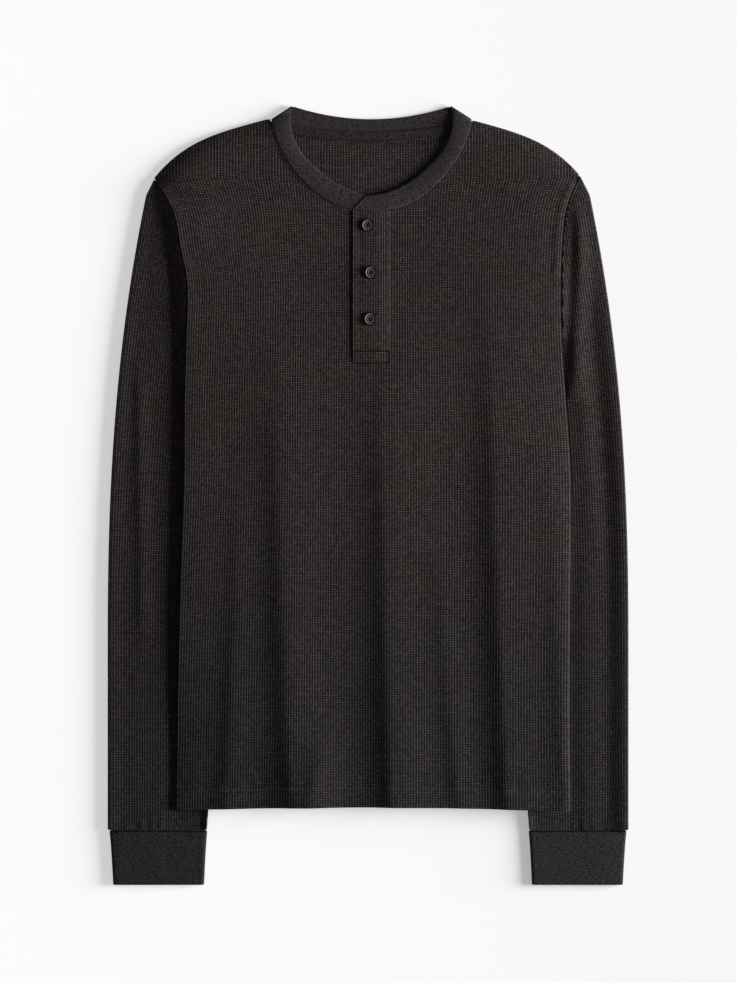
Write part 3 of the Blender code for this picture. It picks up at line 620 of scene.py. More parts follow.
def thread_material(name, cool, warm):
    """Spun polyester thread with a faint twist."""
    material, tree, shader, cloth = new_material(name)
    yarn = spun_yarn(tree, cloth, cool, warm, 0.4)
    give_surface(tree, shader, yarn["Color"], yarn["Fibres"], 0.0001, 0.85, 0.1)
    return material


# Near-black thread: painted shade, standing in for the shadowed grooves that the stitches pull into the
# cloth at the placket box, along the tape and at the cuff seams.
thread_painted_groove_shade = thread_material("thread_painted_groove_shade", (0.0070, 0.0064, 0.0068), (0.0080, 0.0070, 0.0066))
# Thread lighter than the knit: partly its own colour, and partly a painted highlight along the hem's
# stitch line, where the turned hem catches the light. The same thread crosses on the buttons.
hem_thread_painted_highlight = thread_material("hem_thread_painted_highlight", (0.060, 0.054, 0.055), (0.064, 0.056, 0.052))

# The hem's light stitch line is partly a painted highlight on the stitched edge of the hem.
x = np.linspace(HEM_STITCHES_LEFT, HEM_STITCHES_RIGHT, 300)
y = hem(x) + HEM_DEPTH + 1.4 + 0.4 * np.sin(x / 13 + np.sin(x / 29))
path = laid_on(front_face, x, y, 0.05)
hem_stitches = new_piece("front_hem_stitches", *stitch_row(path, 2.6, 0.5, 0.9), hem_thread_painted_highlight)

# Back panel
# The same knit, cut whole with a shallow neck. It lies on the table and climbs over the two
# sleeves that are folded in beneath the body; its inside shows through the neck.

BACK_NECK = 358.0
BACK_CLIMB, CLIMB_WIDE = 4.7, 16.0
BACK_COLUMNS, BACK_ROWS = 84, 150

# The sleeve's hidden inner edge: how far out it is at its top and at its end, and where those are
INNER_TOP, INNER_END = 136.0, 160.0
TUCK_FOOT, SLEEVE_END = 84.0, -334.0


def sleeve_inner(y):
    """The sleeve's hidden inner edge under the body, out from the middle."""
    down = np.clip((TUCK_FOOT - y) / (TUCK_FOOT - SLEEVE_END), 0, 1)
    return mix(INNER_TOP, INNER_END, down**0.9)


def underarm_lift(y):
    """1 where the body lies over a sleeve, 0 where back and sleeve meet at the armhole."""
    return 1 - ease((y - 200) / 55)


def back_inside(x, y):
    """Height of the back's inner, upper face, which meets the front along the side edges."""
    foot = sleeve_inner(y) - CLIMB_WIDE - 3
    climb = ease((np.abs(x) - foot) / CLIMB_WIDE)
    rumple = 0.12 * (1 + np.sin(x / 19) * np.sin(y / 31)) * (1 - climb)
    edge = np.where(x < 0, side(y, -1), side(y, 1))
    at_edge = front_under(np.where(x < 0, -edge, edge), y) - SEAM_GAP
    raised = mix(WALL + BACK_CLIMB * climb, at_edge, ease((np.abs(x) - edge + 20) / 20))
    return mix(WALL, raised, underarm_lift(y)) + rumple


def back_neck(across):
    """The back's seam with the neckband."""
    return mix(BACK_NECK, seam_top, (across / seam_half) ** 2)


def back_top_edge(x):
    across = np.abs(x - MIDDLE)
    clear = SEAM_GAP + 1.6 * ease((across - 84.5) / 16)
    return np.where(across < seam_half, back_neck(across) - clear, shoulder(x))


def grid_faces(count, width, closed=False):
    """Four-cornered faces between count rows of width points."""
    i, j = np.meshgrid(range(count - 1), range(width if closed else width - 1), indexing="ij")
    after = (j + 1) % width
    quads = (i * width + j, i * width + after, (i + 1) * width + after, (i + 1) * width + j)
    return np.stack([q.ravel() for q in quads], 1)


columns = np.linspace(0, COLUMNS, BACK_COLUMNS + 1)
tops = column_tops(columns, back_top_edge, 0.0)
share = np.linspace(0, 1, BACK_ROWS + 1)[:, None]
cloth = np.stack([np.broadcast_to(columns * CELL_WIDTH, (BACK_ROWS + 1, BACK_COLUMNS + 1)),
                  mix(1.5, tops * CELL_HEIGHT, share)], 2).reshape(-1, 2)
x, y = panel_place(cloth[:, 0] - LEFT_COLUMNS * CELL_WIDTH, cloth[:, 1], 0.0)
points = laid_on(back_inside, x, y)
back = new_piece("back_panel", points, cloth, grid_faces(BACK_ROWS + 1, BACK_COLUMNS + 1),
                 body_knit, "back")


def give_wall(piece, thickness):
    wall = piece.modifiers.new("wall", "SOLIDIFY")
    wall.thickness = thickness * MM
    wall.offset = -1
    wall.use_even_offset = True


give_wall(back, WALL)

# Placket
# Two strips of the body knit on the edges of the slit: the under one closes the gap, and the
# outer one lies over it, sewn down on the right and round its end box, free on the left.

PLACKET_HALF, PLACKET_END = 19.2, 132.6
UNDER_HALF, UNDER_END = 17.8, 136.6
BOX_LEFT, BOX_RIGHT = MIDDLE - 17.0, MIDDLE + 18.0
BOX_END, BOX_TOP = PLACKET_END + 0.4, 144.7
PLACKET_LIFT, PLACKET_CURL, SEAM_DEPTH = 1.05, 0.5, 0.3
NECK_SEAM_SIDES, NECK_SEAM_MIDDLE = 286.4, 284.9
PLACKET_ROWS, PLACKET_COLUMNS = 64, 14


def under_face(x, y):
    return front_under(x, y) + WALL


def placket_face(x, y):
    """Outer face of the outer placket, highest along its free left edge."""
    across = x - MIDDLE
    lifted = PLACKET_LIFT - 1.0 * ease((across - 6) / 13)
    lifted = lifted * mix(0.4, 1, ease((y - PLACKET_END) / 16))
    lifted = lifted + PLACKET_CURL * np.exp(-(across + PLACKET_HALF) / 3.5) * ease((y - 150) / 60)
    seam = SEAM_DEPTH * bell(across + PLACKET_HALF - 8, 1.5)
    return under_face(x, y) + lifted - seam


def placket_top(across):
    return mix(NECK_SEAM_SIDES, NECK_SEAM_MIDDLE, 1 - (across / PLACKET_HALF) ** 2) - SEAM_GAP


def placket(name, half, foot, face, edge, node):
    """A waffle strip from its foot up to the neck seam."""
    cells, sunk, faces = waffle_lattice(PLACKET_COLUMNS, PLACKET_ROWS)
    cell_width = 2 * (half - edge) / PLACKET_COLUMNS
    x = MIDDLE + (cells[:, 0] - PLACKET_COLUMNS / 2) * cell_width
    y = mix(foot + edge, placket_top(x - MIDDLE) - edge, cells[:, 1] / PLACKET_ROWS)
    points = laid_on(face, x, y, CELL_DEPTH * sunk)
    cloth = (cells + (0, SLIT_ROW)) * (CELL_WIDTH, CELL_HEIGHT)
    piece = new_piece(name, *rolled_edge(points, cloth, faces, edge), body_knit, node)
    return piece


under_placket = placket("under_placket", UNDER_HALF, UNDER_END, under_face, 0.4, "placket_under")
outer_placket = placket("outer_placket", PLACKET_HALF, PLACKET_END, placket_face, 1.1, "placket_top")

rows = []
for start, end in (((BOX_LEFT, BOX_TOP), (BOX_RIGHT, BOX_TOP)),
                   ((BOX_LEFT, BOX_END), (BOX_RIGHT, BOX_END)),
                   ((BOX_RIGHT, BOX_END), (BOX_RIGHT, BOX_TOP))):
    x, y = (np.linspace(a, b, 60) for a, b in zip(start, end))
    rows.append(stitch_row(laid_on(placket_face, x, y, 0.02), 2.4, 0.25, 1.2))
# The box's near-black stitches paint the shade of the grooves they pull in.
placket_stitches = new_piece("placket_stitches", *joined(rows), thread_painted_groove_shade)

# Buttons
# Three moulded 12 mm buttons with a raised rim, a dished middle and four holes, sewn on through
# both plackets with a cross of thread. They stay fastened.

# Profile of the button from its middle over the rim and under: out from the middle, up
button_profile = ((0.0, 1.3), (2.3, 1.3), (2.8, 1.65), (3.2, 1.65), (3.7, 1.2), (4.3, 1.1), (4.8, 1.4),
                  (5.3, 1.95), (5.8, 2.1), (6.2, 1.95), (6.5, 1.5), (6.6, 1.1), (6.4, 0.7),
                  (5.6, 0.3), (4.3, 0.1), (2.5, 0.05), (0.0, 0.0))
BUTTON_SEAT, BUTTON_TURNS = 0.95, 48
HOLE_RADIUS, HOLES_OUT, HOLE_SIDES = 0.75, 1.6, 16
RING_TOP = 1.3
THREAD_REACH, THREAD_APART = 1.75, 0.18

# Where each button is, across and up, and how far it is turned
button_places = ((0.0, 270.6, 0.12), (3.1, 223.1, -0.08), (2.4, 176.5, 0.3))


def button_material():
    """Black moulded plastic, with lighter rings painted on the inside of its rim and on its inner ring as
    highlights.
    """
    material, tree, shader, cloth = new_material("button_plastic")
    grain = stretched_noise(tree, cloth, (3, 3, 1), 3)
    out = parts_of(tree, cloth)[0]
    # Painted highlights: light rings where light would catch the inner slope of the rim and the inner
    # ring.
    rim, ring = (calc(tree, "MULTIPLY", ramp(tree, out, *rise, 0, 1), ramp(tree, out, *fall, 1, 0))
                 for rise, fall in (((4.3, 4.7), (5.3, 5.6)), ((2.5, 2.8), (3.2, 3.5))))
    painted_highlight = calc(tree, "MULTIPLY", calc(tree, "MAXIMUM", rim, ring), ramp(tree, grain, 0.3, 0.7, 0.55, 1))
    colour = blended(tree, painted_highlight, (0.006, 0.006, 0.0065, 1), (0.20, 0.20, 0.205, 1))
    give_surface(tree, shader, colour, grain, 0.00003, ramp(tree, grain, 0.3, 0.7, 0.44, 0.56), 0.06)
    return material


button_plastic = button_material()


def ring_of(radius, sides, height):
    """Points round the upright axis, at one height."""
    angles = math.tau * np.arange(sides) / sides
    return np.stack([radius * np.cos(angles), radius * np.sin(angles), np.full(sides, height)], 1)


def turned(profile, turns):
    """A profile turned round the upright axis, its two ends shut by flat faces on the axis."""
    points = np.concatenate([ring_of(radius, turns, height) for radius, height in profile])
    faces = grid_faces(len(profile), turns, closed=True)[:, ::-1].tolist()
    ends = [list(range(turns)), list(range(len(points) - 1, len(points) - turns - 1, -1))]
    return points, faces + ends


def drill(name):
    """Four round cutters for the thread holes, taken away again after the cut."""
    mesh = bpy.data.meshes.new(name)
    vertices, faces = [], []
    for quarter in range(4):
        angle = math.pi / 4 + quarter * math.pi / 2
        aside = (HOLES_OUT * math.cos(angle), HOLES_OUT * math.sin(angle), 0)
        low = len(vertices)
        high = low + HOLE_SIDES
        for height in (-2.0, 5.0):
            vertices += ((ring_of(HOLE_RADIUS, HOLE_SIDES, height) + aside) * MM).tolist()
        for k in range(HOLE_SIDES):
            after = (k + 1) % HOLE_SIDES
            faces.append([low + k, low + after, high + after, high + k])
        faces.append(list(range(high - 1, low - 1, -1)))
        faces.append(list(range(high, high + HOLE_SIDES)))
    mesh.from_pydata(vertices, [], faces)
    return placed(name, mesh)


def make_button(number, x, y, turn):
    """One moulded button with its holes cut, and the two pairs of threads that cross on it."""
    points, faces = turned(button_profile, BUTTON_TURNS)
    seat = float(front_under(x, y)) + WALL + BUTTON_SEAT
    mesh = bpy.data.meshes.new(f"button_{number}_mould")
    mesh.from_pydata((points * MM).tolist(), [], faces)
    mould = placed(f"button_{number}_mould", mesh)
    weld = mould.modifiers.new("weld", "WELD")
    weld.merge_threshold = 0.00001
    cut = mould.modifiers.new("holes", "BOOLEAN")
    cut.operation = "DIFFERENCE"
    cut.object = drill(f"button_{number}_drill")
    depsgraph = bpy.context.evaluated_depsgraph_get()
    done = bpy.data.meshes.new_from_object(mould.evaluated_get(depsgraph))
    done.name = f"henley_button_{number}"
    bpy.data.objects.remove(cut.object)
    bpy.data.objects.remove(mould)
    layer = done.uv_layers.new(name="cloth")
    for loop in done.loops:
        place = done.vertices[loop.vertex_index].co
        out = math.hypot(place.x, place.y) / MM
        layer.data[loop.index].uv = (out, 4 * math.atan2(place.y, place.x) + place.z / MM)
    done.shade_smooth()
    done.set_sharp_from_angle(angle=math.radians(40))
    done.materials.append(button_plastic)
    button = placed(done.name, done)
    button.location = (x * MM, y * MM, seat * MM)
    button.rotation_euler = (math.radians(-1.5), math.radians(2), turn)
    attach(button, "root")
    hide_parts(f"button_{number}")
    threads = []
    for start in (0, 1):
        angle = turn + math.pi / 4 + start * math.pi / 2
        reach = np.linspace(-THREAD_REACH, THREAD_REACH, 13)
        level = seat + RING_TOP + 0.3 + 0.25 * start - 0.5 * (reach / THREAD_REACH) ** 4
        path = np.stack([x + reach * math.cos(angle), y + reach * math.sin(angle), level], 1)
        for offset in (-THREAD_APART, THREAD_APART):
            aside = np.array((-math.sin(angle) * offset, math.cos(angle) * offset, 0))
            threads.append(stitch_row(path + aside, 3.4, 0.1, 0.34, 0.2))
    return threads


threads = []
for number, place in enumerate(button_places, 1):
    threads += make_button(number, *place)
new_piece("button_threads", *joined(threads), hem_thread_painted_highlight)

# Neckband
# A strip of fine rib, folded double and sewn round the neck. Its fold is the free edge. Its two
# ends meet on a slant above the placket, the right one on top, and it turns over at the shoulders.

RIB_WALL = 2.0
FOLD_RADIUS = RIB_WALL + 0.35
BAND_LAP, BAND_CROWN, CREASE_RISE = 0.85, 0.75, 0.6
BACK_EDGE = 377.3
across_band = np.linspace(0, 1, 13)
RIB_PITCH, LOOP_PITCH = 1.15, 0.7

# Sections of the band's two slanted ends, as in the neckband table
left_end = (18.5, 286.4, 5.2, 300.1)
right_end = ((-18.1, 286.4, -4.8, 299.9), (0.0, 284.9, 4.5, 301.4))


def rib_group():
    """Fine upright ribs, close and shallow."""
    group, given, result = new_group(
        "fine ribs",
        (("Cloth", "NodeSocketVector", (0, 0, 0)), ("Rib Pitch", "NodeSocketFloat", RIB_PITCH)),
        (("Ribs", "NodeSocketFloat"),),
    )
    parts = parts_of(group, given["Cloth"])
    waver = stretched_noise(group, given["Cloth"], (0.15, 0.1, 1), 1)
    place = calc(group, "ADD", parts[0], calc(group, "MULTIPLY", waver, 0.5))
    off_rib = off_line(group, place, given["Rib Pitch"])
    loops = off_line(group, parts[1], LOOP_PITCH)
    raised = calc(group, "ADD", ramp(group, off_rib, 0.05, 0.45, 1, 0),
                  calc(group, "MULTIPLY", loops, 0.3))
    group.links.new(raised, result["Ribs"])
    return group


fine_ribs = rib_group()


def rib_material(name, cool, warm):
    """The same heather yarn as the body in a fine, smooth rib."""
    material, tree, shader, cloth = new_material(name)
    yarn = spun_yarn(tree, cloth, cool, warm, 5.0)
    ribs = use_group(tree, fine_ribs, {"Cloth": cloth})
    # Painted shade: the colour is a little darker between the ribs, where shade falls.
    colour = scaled(tree, yarn["Color"], ramp(tree, ribs["Ribs"], 0, 1, 0.94, 1.03, False))
    relief = calc(tree, "ADD", calc(tree, "MULTIPLY", ribs["Ribs"], 0.3), yarn["Fibres"])
    matt = ramp(tree, yarn["Fibres"], 0.3, 0.7, 0.82, 0.95)
    give_surface(tree, shader, colour, relief, 0.0003, matt, CLOTH_SHINE, CLOTH_SHEEN)
    return material


band_rib = rib_material("fine_rib_neckband", (0.0322, 0.0268, 0.0290), (0.0334, 0.0272, 0.0252))


def strip(outer, normals, wall, arc=4):
    """A closed strip from its outer face, rows of points across it, with rounded edges."""
    normals = np.broadcast_to(normals, (len(outer), 3))
    radius = wall / 2
    first = unit(outer[:, 1] - outer[:, 0])
    last = unit(outer[:, -1] - outer[:, -2])
    ends = []
    for middle, out in ((outer[:, -1] - last * radius, last), (outer[:, 0] + first * radius, -first)):
        centre = middle - normals * radius
        angles = [math.pi * k / arc for k in range(arc + 1)]
        arcs = [centre + normals * radius * math.cos(a) + out * radius * math.sin(a) for a in angles]
        ends.append(arcs)
    far, near = ends
    inner = [outer[:, k] - normals * wall for k in range(outer.shape[1] - 2, 0, -1)]
    loop = [outer[:, k] for k in range(1, outer.shape[1] - 1)] + far + inner + near[::-1]
    rings = np.stack(loop, 1)
    count, width = rings.shape[:2]
    middle_line = outer[:, outer.shape[1] // 2]
    along, round_it = run_along(middle_line), run_along(rings[count // 2])
    cloth = np.stack(np.broadcast_arrays(along[:, None], round_it[None, :]), 2).reshape(-1, 2)
    points = rings.reshape(-1, 3)
    faces = grid_faces(count, width, closed=True)
    caps = []
    for start, turn in ((0, 1), ((count - 1) * width, -1)):
        half = width // 2
        for k in range(half - 1):
            quad = (start + k, start + k + 1, start + width - 2 - k, start + width - 1 - k)
            caps.append(quad[::turn])
    return points, cloth, np.concatenate([faces, np.array(caps)])


def band_front(table, places, sign, tilt, lap):
    """Points across the band's front half, at places along a table of sections.

    tilt is how far its free edge leans down, and lap how high it climbs over the other end.
    """
    rows = through(np.arange(len(table)), np.array(table, float), places)
    across = mix(rows[:, [0]], rows[:, [2]], across_band)
    x, y = MIDDLE + sign * across, mix(rows[:, [1]], rows[:, [3]], across_band)
    crown = BAND_CROWN * np.sin(math.pi * across_band) ** 0.8 - tilt * across_band
    near_crease = CREASE_RISE * bell(shoulder(x) - y, 9) * (y > 340)
    over_end = lap * ease((34 - across) / 22)
    return np.stack([x, y, front_under(x, y) + RIB_WALL + crown + near_crease + over_end], 2)


sections = [tuple(row) for row in neck_rows[::-1]]
right_half = band_front([*right_end, *sections], np.linspace(0, 8.86, 96), 1, 0.3, BAND_LAP)
left_half = band_front([left_end, *sections[1:]], np.linspace(0, 6.86, 84), -1, 0.9, 0.0)


def band_fold(sign, steps=10):
    """Round the crease on a shoulder, from the front's level down to the table."""
    seam = np.array((MIDDLE + sign * seam_half, seam_top))
    edge = np.array((MIDDLE + sign * edge_half, edge_top))
    rise, run = edge_top - seam_top, seam_half - edge_half
    bulge = np.array((sign * rise, run)) / math.hypot(rise, run)
    rows, normals = [], []
    for angle in np.linspace(0, math.pi, steps):
        plan = mix(seam, edge, across_band[:, None]) + bulge * FOLD_RADIUS * (math.sin(angle) - 1)
        level = np.full(len(plan), FOLD_RADIUS * (1 + math.cos(angle)))
        rows.append(np.column_stack([plan, level]))
        normals.append((*bulge * math.sin(angle), math.cos(angle)))
    return np.array(rows), np.array(normals)


def back_edge(across):
    """The band's free edge behind the neck."""
    return mix(BACK_EDGE, edge_top, (across / edge_half) ** 2)


turn = np.linspace(0.97, -0.97, 100)[:, None]
back_half = np.stack(np.broadcast_arrays(
    MIDDLE + mix(seam_half, edge_half, across_band) * turn,
    mix(back_neck(seam_half * turn), back_edge(edge_half * turn), across_band),
    0.0,
), 2)
fold_right, turns_right = band_fold(1)
fold_left, turns_left = band_fold(-1)
up, down = np.array((0.0, 0, 1)), np.array((0.0, 0, -1))
outer = np.concatenate([right_half, fold_right, back_half, fold_left[::-1], left_half[::-1]])
normals = np.concatenate([
    np.tile(up, (len(right_half), 1)), turns_right, np.tile(down, (len(back_half), 1)),
    turns_left[::-1], np.tile(up, (len(left_half), 1)),
])
points, cloth, faces = strip(outer, normals, RIB_WALL)
neckband = new_piece("neck_band", points, cloth, faces[:, ::-1], band_rib, "neckband")


def cord_on(path, radius, sides=6):
    """A round cord of thread or turned cloth along a path of points."""
    along = unit(np.gradient(path, axis=0))
    across = unit(np.cross(along, (0, 0, 1)))
    lift = np.cross(across, along)
    rings = [path + radius * (math.cos(math.tau * k / sides) * across
                              + math.sin(math.tau * k / sides) * lift) for k in range(sides)]
    points = np.stack(rings, 1).reshape(-1, 3)
    run = run_along(path)
    cloth = np.stack(np.broadcast_arrays(run[:, None], 0.7 * np.arange(sides)[None, :]), 2)
    return points, cloth.reshape(-1, 2), grid_faces(len(path), sides, closed=True)[:, ::-1]


ridges = []
for sign in (1, -1):
    rows = through(np.arange(8), neck_rows[::-1], np.linspace(0, 6.8, 150))
    x, y = MIDDLE + sign * rows[:, 0], rows[:, 1] - SEAM_GAP
    tangent = unit(np.gradient(np.stack([x, y], 1), axis=0))
    x, y = x + sign * tangent[:, 1] * 0.8, y - np.abs(tangent[:, 0]) * 0.8
    ridges.append(cord_on(laid_on(front_face, x, y, 0.2), 0.5))
neck_seam = new_piece("neck_seam_edge", *joined(ridges), band_rib)

# Neck tape
# A narrow herringbone tape that covers the neck seam on the inside of the back, sewn along both
# of its edges from one shoulder to the other. It carries no print.

TAPE_REACH, TAPE_WIDTH, TAPE_WALL = 81.5, 10.0, 1.0
TAPE_TOP, TAPE_GAP = 364.0, 0.3
CHEVRON = 3.4


def tape_material():
    """Herringbone twill tape in the neckband's colour, a little smoother than the knit."""
    material, tree, shader, cloth = new_material("twill_tape")
    yarn = spun_yarn(tree, cloth, (0.0312, 0.0252, 0.0274), (0.0320, 0.0256, 0.0238), 5.0)
    parts = parts_of(tree, cloth)
    chevron = calc(tree, "MULTIPLY", off_line(tree, parts[1], CHEVRON), CHEVRON)
    twill = ramp(tree, calc(tree, "PINGPONG", calc(tree, "ADD", parts[0], chevron), 0.5), 0.05, 0.42, 1, 0)
    # Painted shade: the colour is darker between the twill's raised lines, where shade falls.
    colour = scaled(tree, yarn["Color"], ramp(tree, twill, 0, 1, 0.7, 1.1))
    matt = ramp(tree, yarn["Fibres"], 0.3, 0.7, 0.8, 0.92)
    give_surface(tree, shader, colour, twill, 0.00018, matt, CLOTH_SHINE)
    return material


def tape_top(across):
    return TAPE_TOP + 8 * (across / TAPE_REACH) ** 2


def tape_path(below, level):
    """A line of stitches, so far below the tape's upper edge."""
    across = np.linspace(-TAPE_REACH + 1, TAPE_REACH - 1, 120)
    return np.stack([MIDDLE + across, tape_top(across) - below, np.full(120, level)], 1)


across = np.linspace(-TAPE_REACH, TAPE_REACH, 120)[:, None]
down_tape = np.linspace(0, TAPE_WIDTH, 7)[None, :]
level = RIB_WALL + TAPE_GAP + TAPE_WALL
outer = np.stack(np.broadcast_arrays(MIDDLE + across, tape_top(across) - down_tape, level), 2)
points, cloth, faces = strip(outer, up, TAPE_WALL)
tape = new_piece("herringbone_tape", points, cloth, faces[:, ::-1], tape_material(), "neck_tape")
# The lower tape stitches are near-black: painted shade of the groove along the tape's lower edge.
tape_stitches = new_piece(
    "tape_stitches", *stitch_row(tape_path(TAPE_WIDTH - 1.3, level - 0.05)), thread_painted_groove_shade)
tape_top_stitches = new_piece(
    "tape_top_stitches", *stitch_row(tape_path(0.4, level), 2.1, 1.1, 0.9), band_rib)

# Sleeves
# One piece of waffle knit each, set into the armhole and closed by a seam that lies hidden
# under the body. Laid flat, they run straight down beside it with long soft ridges.

SLEEVE_FOOT = 1.2
SLEEVE_ROWS, SLEEVE_HALF_COLUMNS = 278, 46

# The outer edge: how far out it gets, where its curve starts, how long that is and how far it comes
SLEEVE_OUT, SLEEVE_HEAD, CURVE_LENGTH, CURVE_WIDE = 260.5, 301.0, 450.0, 38.5
TURN_WIDE, TURN_LENGTH = 1.4, 4.0
ARMHOLE_TOP, ARMHOLE_FOOT = edge_y[-1], 152.0
ARMHOLE_ALLOWANCE = 2.6
GATHERS = 0.3
TUCKED_TOP, INNER_FOLD = 4.4, 5.4


def sleeve_outer(y):
    """The sleeve's outer edge, out from the middle."""
    down = np.clip((SLEEVE_HEAD - y) / CURVE_LENGTH, 0, 1)
    return SLEEVE_OUT - CURVE_WIDE * (1 - down) ** 2.41 - 0.5 * np.maximum(y - SLEEVE_HEAD, 0)


def sleeve_lean(y):
    """Slope of the sleeve's outer edge as an angle, the same all over the sleeve head."""
    y = np.minimum(y, SLEEVE_HEAD - 1)
    return np.arctan(sleeve_outer(y - 0.5) - sleeve_outer(y + 0.5))


def sleeve_plan(inward, along):
    """Out and up on the table for cloth so far in from the outer edge and up from the cuff."""
    y = SLEEVE_END + along
    lean = sleeve_lean(y)
    return sleeve_outer(y) - inward * np.cos(lean), y - inward * np.sin(lean)


# Long creases of each sleeve. A row is one ridge, or a trough where its height is below 0: the
# height of its top and its foot on the table, how far out each lies, how high it stands, and how
# far its flanks reach towards the body and away from it
sleeve_creases = {
    -1: (
        (290, 120, 199, 190, -1.4, 4, 6),
        (140, -110, 229, 226, 1.3, 9, 6),
    ),
    1: (
        (285, 130, 206, 198, -1.2, 3, 6),
        (300, 120, 215, 206, 2.6, 9, 10),
        (150, -20, 212, 225, 1.2, 11, 9),
        (-10, -334, 224, 226, 0.5, 10, 12),
    ),
}

# How each sleeve lies. "top": height of its upper face at the armhole and low down. "beside":
# height close to the body, and "change": where that starts to sink and how long it takes. "half":
# half the height of its round outer edge, high and low. "slope": how far in the upper face leaves
# that edge, and where it reaches its own height
sleeve_levels = {
    -1: {"top": (4.6, 4.6), "beside": (4.2, 3.4), "change": (150, 60), "half": (2.7, 2.8),
         "slope": (TURN_WIDE, 17.4)},
    1: {"top": (6.0, 5.0), "beside": (5.0, 3.9), "change": (20, 120), "half": (2.7, 4.1),
        "slope": (4.0, 22.0)},
}


def sleeve_face(out, y, sign):
    """Height of the sleeve's upper face, out from the middle."""
    levels = sleeve_levels[sign]
    edge = side(np.minimum(y, ARMHOLE_TOP), sign)
    outside = out - edge
    height = mix(*levels["top"], ease((220 - y) / 200))
    change_top, change_long = levels["change"]
    beside = mix(*levels["beside"], ease((change_top - y) / change_long))
    height = mix(height, beside, underarm_lift(y) * (1 - ease((outside - 3) / 14)))
    flush = under_face(sign * edge, np.minimum(y, ARMHOLE_TOP))
    height = mix(height, flush, ease((y - 140) / 50) * (1 - ease(outside / 17)))
    for top, foot, top_out, foot_out, tall, near_flank, far_flank in sleeve_creases[sign]:
        share = (y - foot) / (top - foot)
        crest = mix(foot_out, top_out, np.clip(share, -0.2, 1.2))
        flank = np.where(out < crest, near_flank, far_flank)
        fade = ease(share * 4 + 0.9) * ease((1 - share) * 5 + 0.2)
        height = height + tall * bell(out - crest, flank) * fade
    under_body = (y < 200) & (outside < 1)
    gathers = GATHERS * np.sin(out / 1.9 + 2 * np.sin(out / 11)) * bell(y - SLEEVE_END, 12)
    return np.where(under_body, np.minimum(height, TUCKED_TOP), height) + gathers * (outside > 1)


def sleeve_limits(sign):
    """The armhole and the tucked edge, as the most rows up at each distance inward."""
    y = np.linspace(ARMHOLE_TOP + 1.5, ARMHOLE_FOOT + 2, 90)
    out = side(y, sign) + SEAM_GAP + 1.0
    # From the underarm inward: how far out from the body's edge there, and how high up
    tucked = np.array(((1, 146), (-1, 137), (-7, 127), (-17, 116), (-33, 102), (-47, 84)))
    y = np.concatenate([y, tucked[:, 1]])
    out = np.concatenate([out, side(ARMHOLE_FOOT + 0.4, sign) + tucked[:, 0]])
    start, inward = y.copy(), np.zeros_like(y)
    for _ in range(25):
        lean = sleeve_lean(start)
        inward = (sleeve_outer(start) - out) / np.cos(lean)
        start = y + inward * np.sin(lean)
    inward = np.maximum.accumulate(inward + 1e-4 * np.arange(len(y)))
    return inward, start - SLEEVE_END


def inward_of(reach):
    """How far in from the outer edge cloth lies that is so far round from that edge's middle."""
    angle = np.clip(reach / TURN_LENGTH, 0, 1) * math.pi / 2
    return np.where(reach < TURN_LENGTH, TURN_WIDE * (1 - np.cos(angle)), TURN_WIDE + reach - TURN_LENGTH)


def make_sleeve(name, sign, node):
    """A flattened tube of waffle knit, cut to the armhole and rolled at its edges."""
    cells, sunk, faces = waffle_lattice(2 * SLEEVE_HALF_COLUMNS, SLEEVE_ROWS)
    cloth = cells * (CELL_WIDTH, CELL_HEIGHT)
    round_it = cloth[:, 0] - SLEEVE_HALF_COLUMNS * CELL_WIDTH
    most_in, most_up = sleeve_limits(sign)
    reach = np.abs(round_it)
    inward = inward_of(reach)
    along = cloth[:, 1] + SLEEVE_FOOT
    y = SLEEVE_END + along
    widest = sleeve_outer(y) - sleeve_inner(y) - 2.2
    narrowed = np.minimum(inward, widest)
    raised = np.minimum(along, np.interp(narrowed, most_in, most_up))
    moved = (narrowed < inward) | (raised < along)
    turned_reach = np.where(narrowed < TURN_WIDE, reach, narrowed - TURN_WIDE + TURN_LENGTH)
    across = np.sign(round_it) * turned_reach / CELL_WIDTH
    cells = np.stack([across, (raised - SLEEVE_FOOT) / CELL_HEIGHT], 1)
    cells, sunk, faces = welded(cells, sunk * ~moved, faces)
    cloth = cells * (CELL_WIDTH, CELL_HEIGHT)
    reach = np.abs(cloth[:, 0])
    angle = np.clip(reach / TURN_LENGTH, 0, 1) * math.pi / 2
    inward = inward_of(reach)
    out, y = sleeve_plan(inward, cloth[:, 1] + SLEEVE_FOOT)
    half = mix(*sleeve_levels[sign]["half"], ease((240 - y) / 80))
    near, reached = sleeve_levels[sign]["slope"]
    top = mix(2 * half, sleeve_face(out, y, sign), ease((inward - near) / (reached - near)))
    far_edge = sleeve_outer(y) - sleeve_inner(y) - inward
    top = mix(INNER_FOLD, top, ease((far_edge - TURN_WIDE) / 7))
    turned_z = half * (1 + np.sin(angle)) + top - 2 * half
    z = np.where(cloth[:, 0] > 0, turned_z, half * (1 - np.sin(angle)) + 0.1)
    sink = CELL_DEPTH * sunk
    z = z - sink * np.sin(angle) * np.sign(cloth[:, 0])
    out = out - sink * np.cos(angle)
    points = np.stack([sign * out, y, z], 1)
    at_armhole = (cloth[:, 0] > 0) & (y > ARMHOLE_FOOT)
    cloth = cloth + (120, 0)
    if sign > 0:
        faces = faces[:, ::-1]
    rolled = rolled_edge(points, cloth, faces, 1.0, np.where(at_armhole, ARMHOLE_ALLOWANCE, 0.0))
    piece = new_piece(name, *rolled, body_knit, node)


make_sleeve("left_sleeve", -1, "sleeve_left")
make_sleeve("right_sleeve", 1, "sleeve_right")

# Cuffs
# A doubled tube of fine rib sewn to the end of each sleeve, a little narrower than the sleeve,
# which stands over it at the seam. The open end shows both layers of its fold.

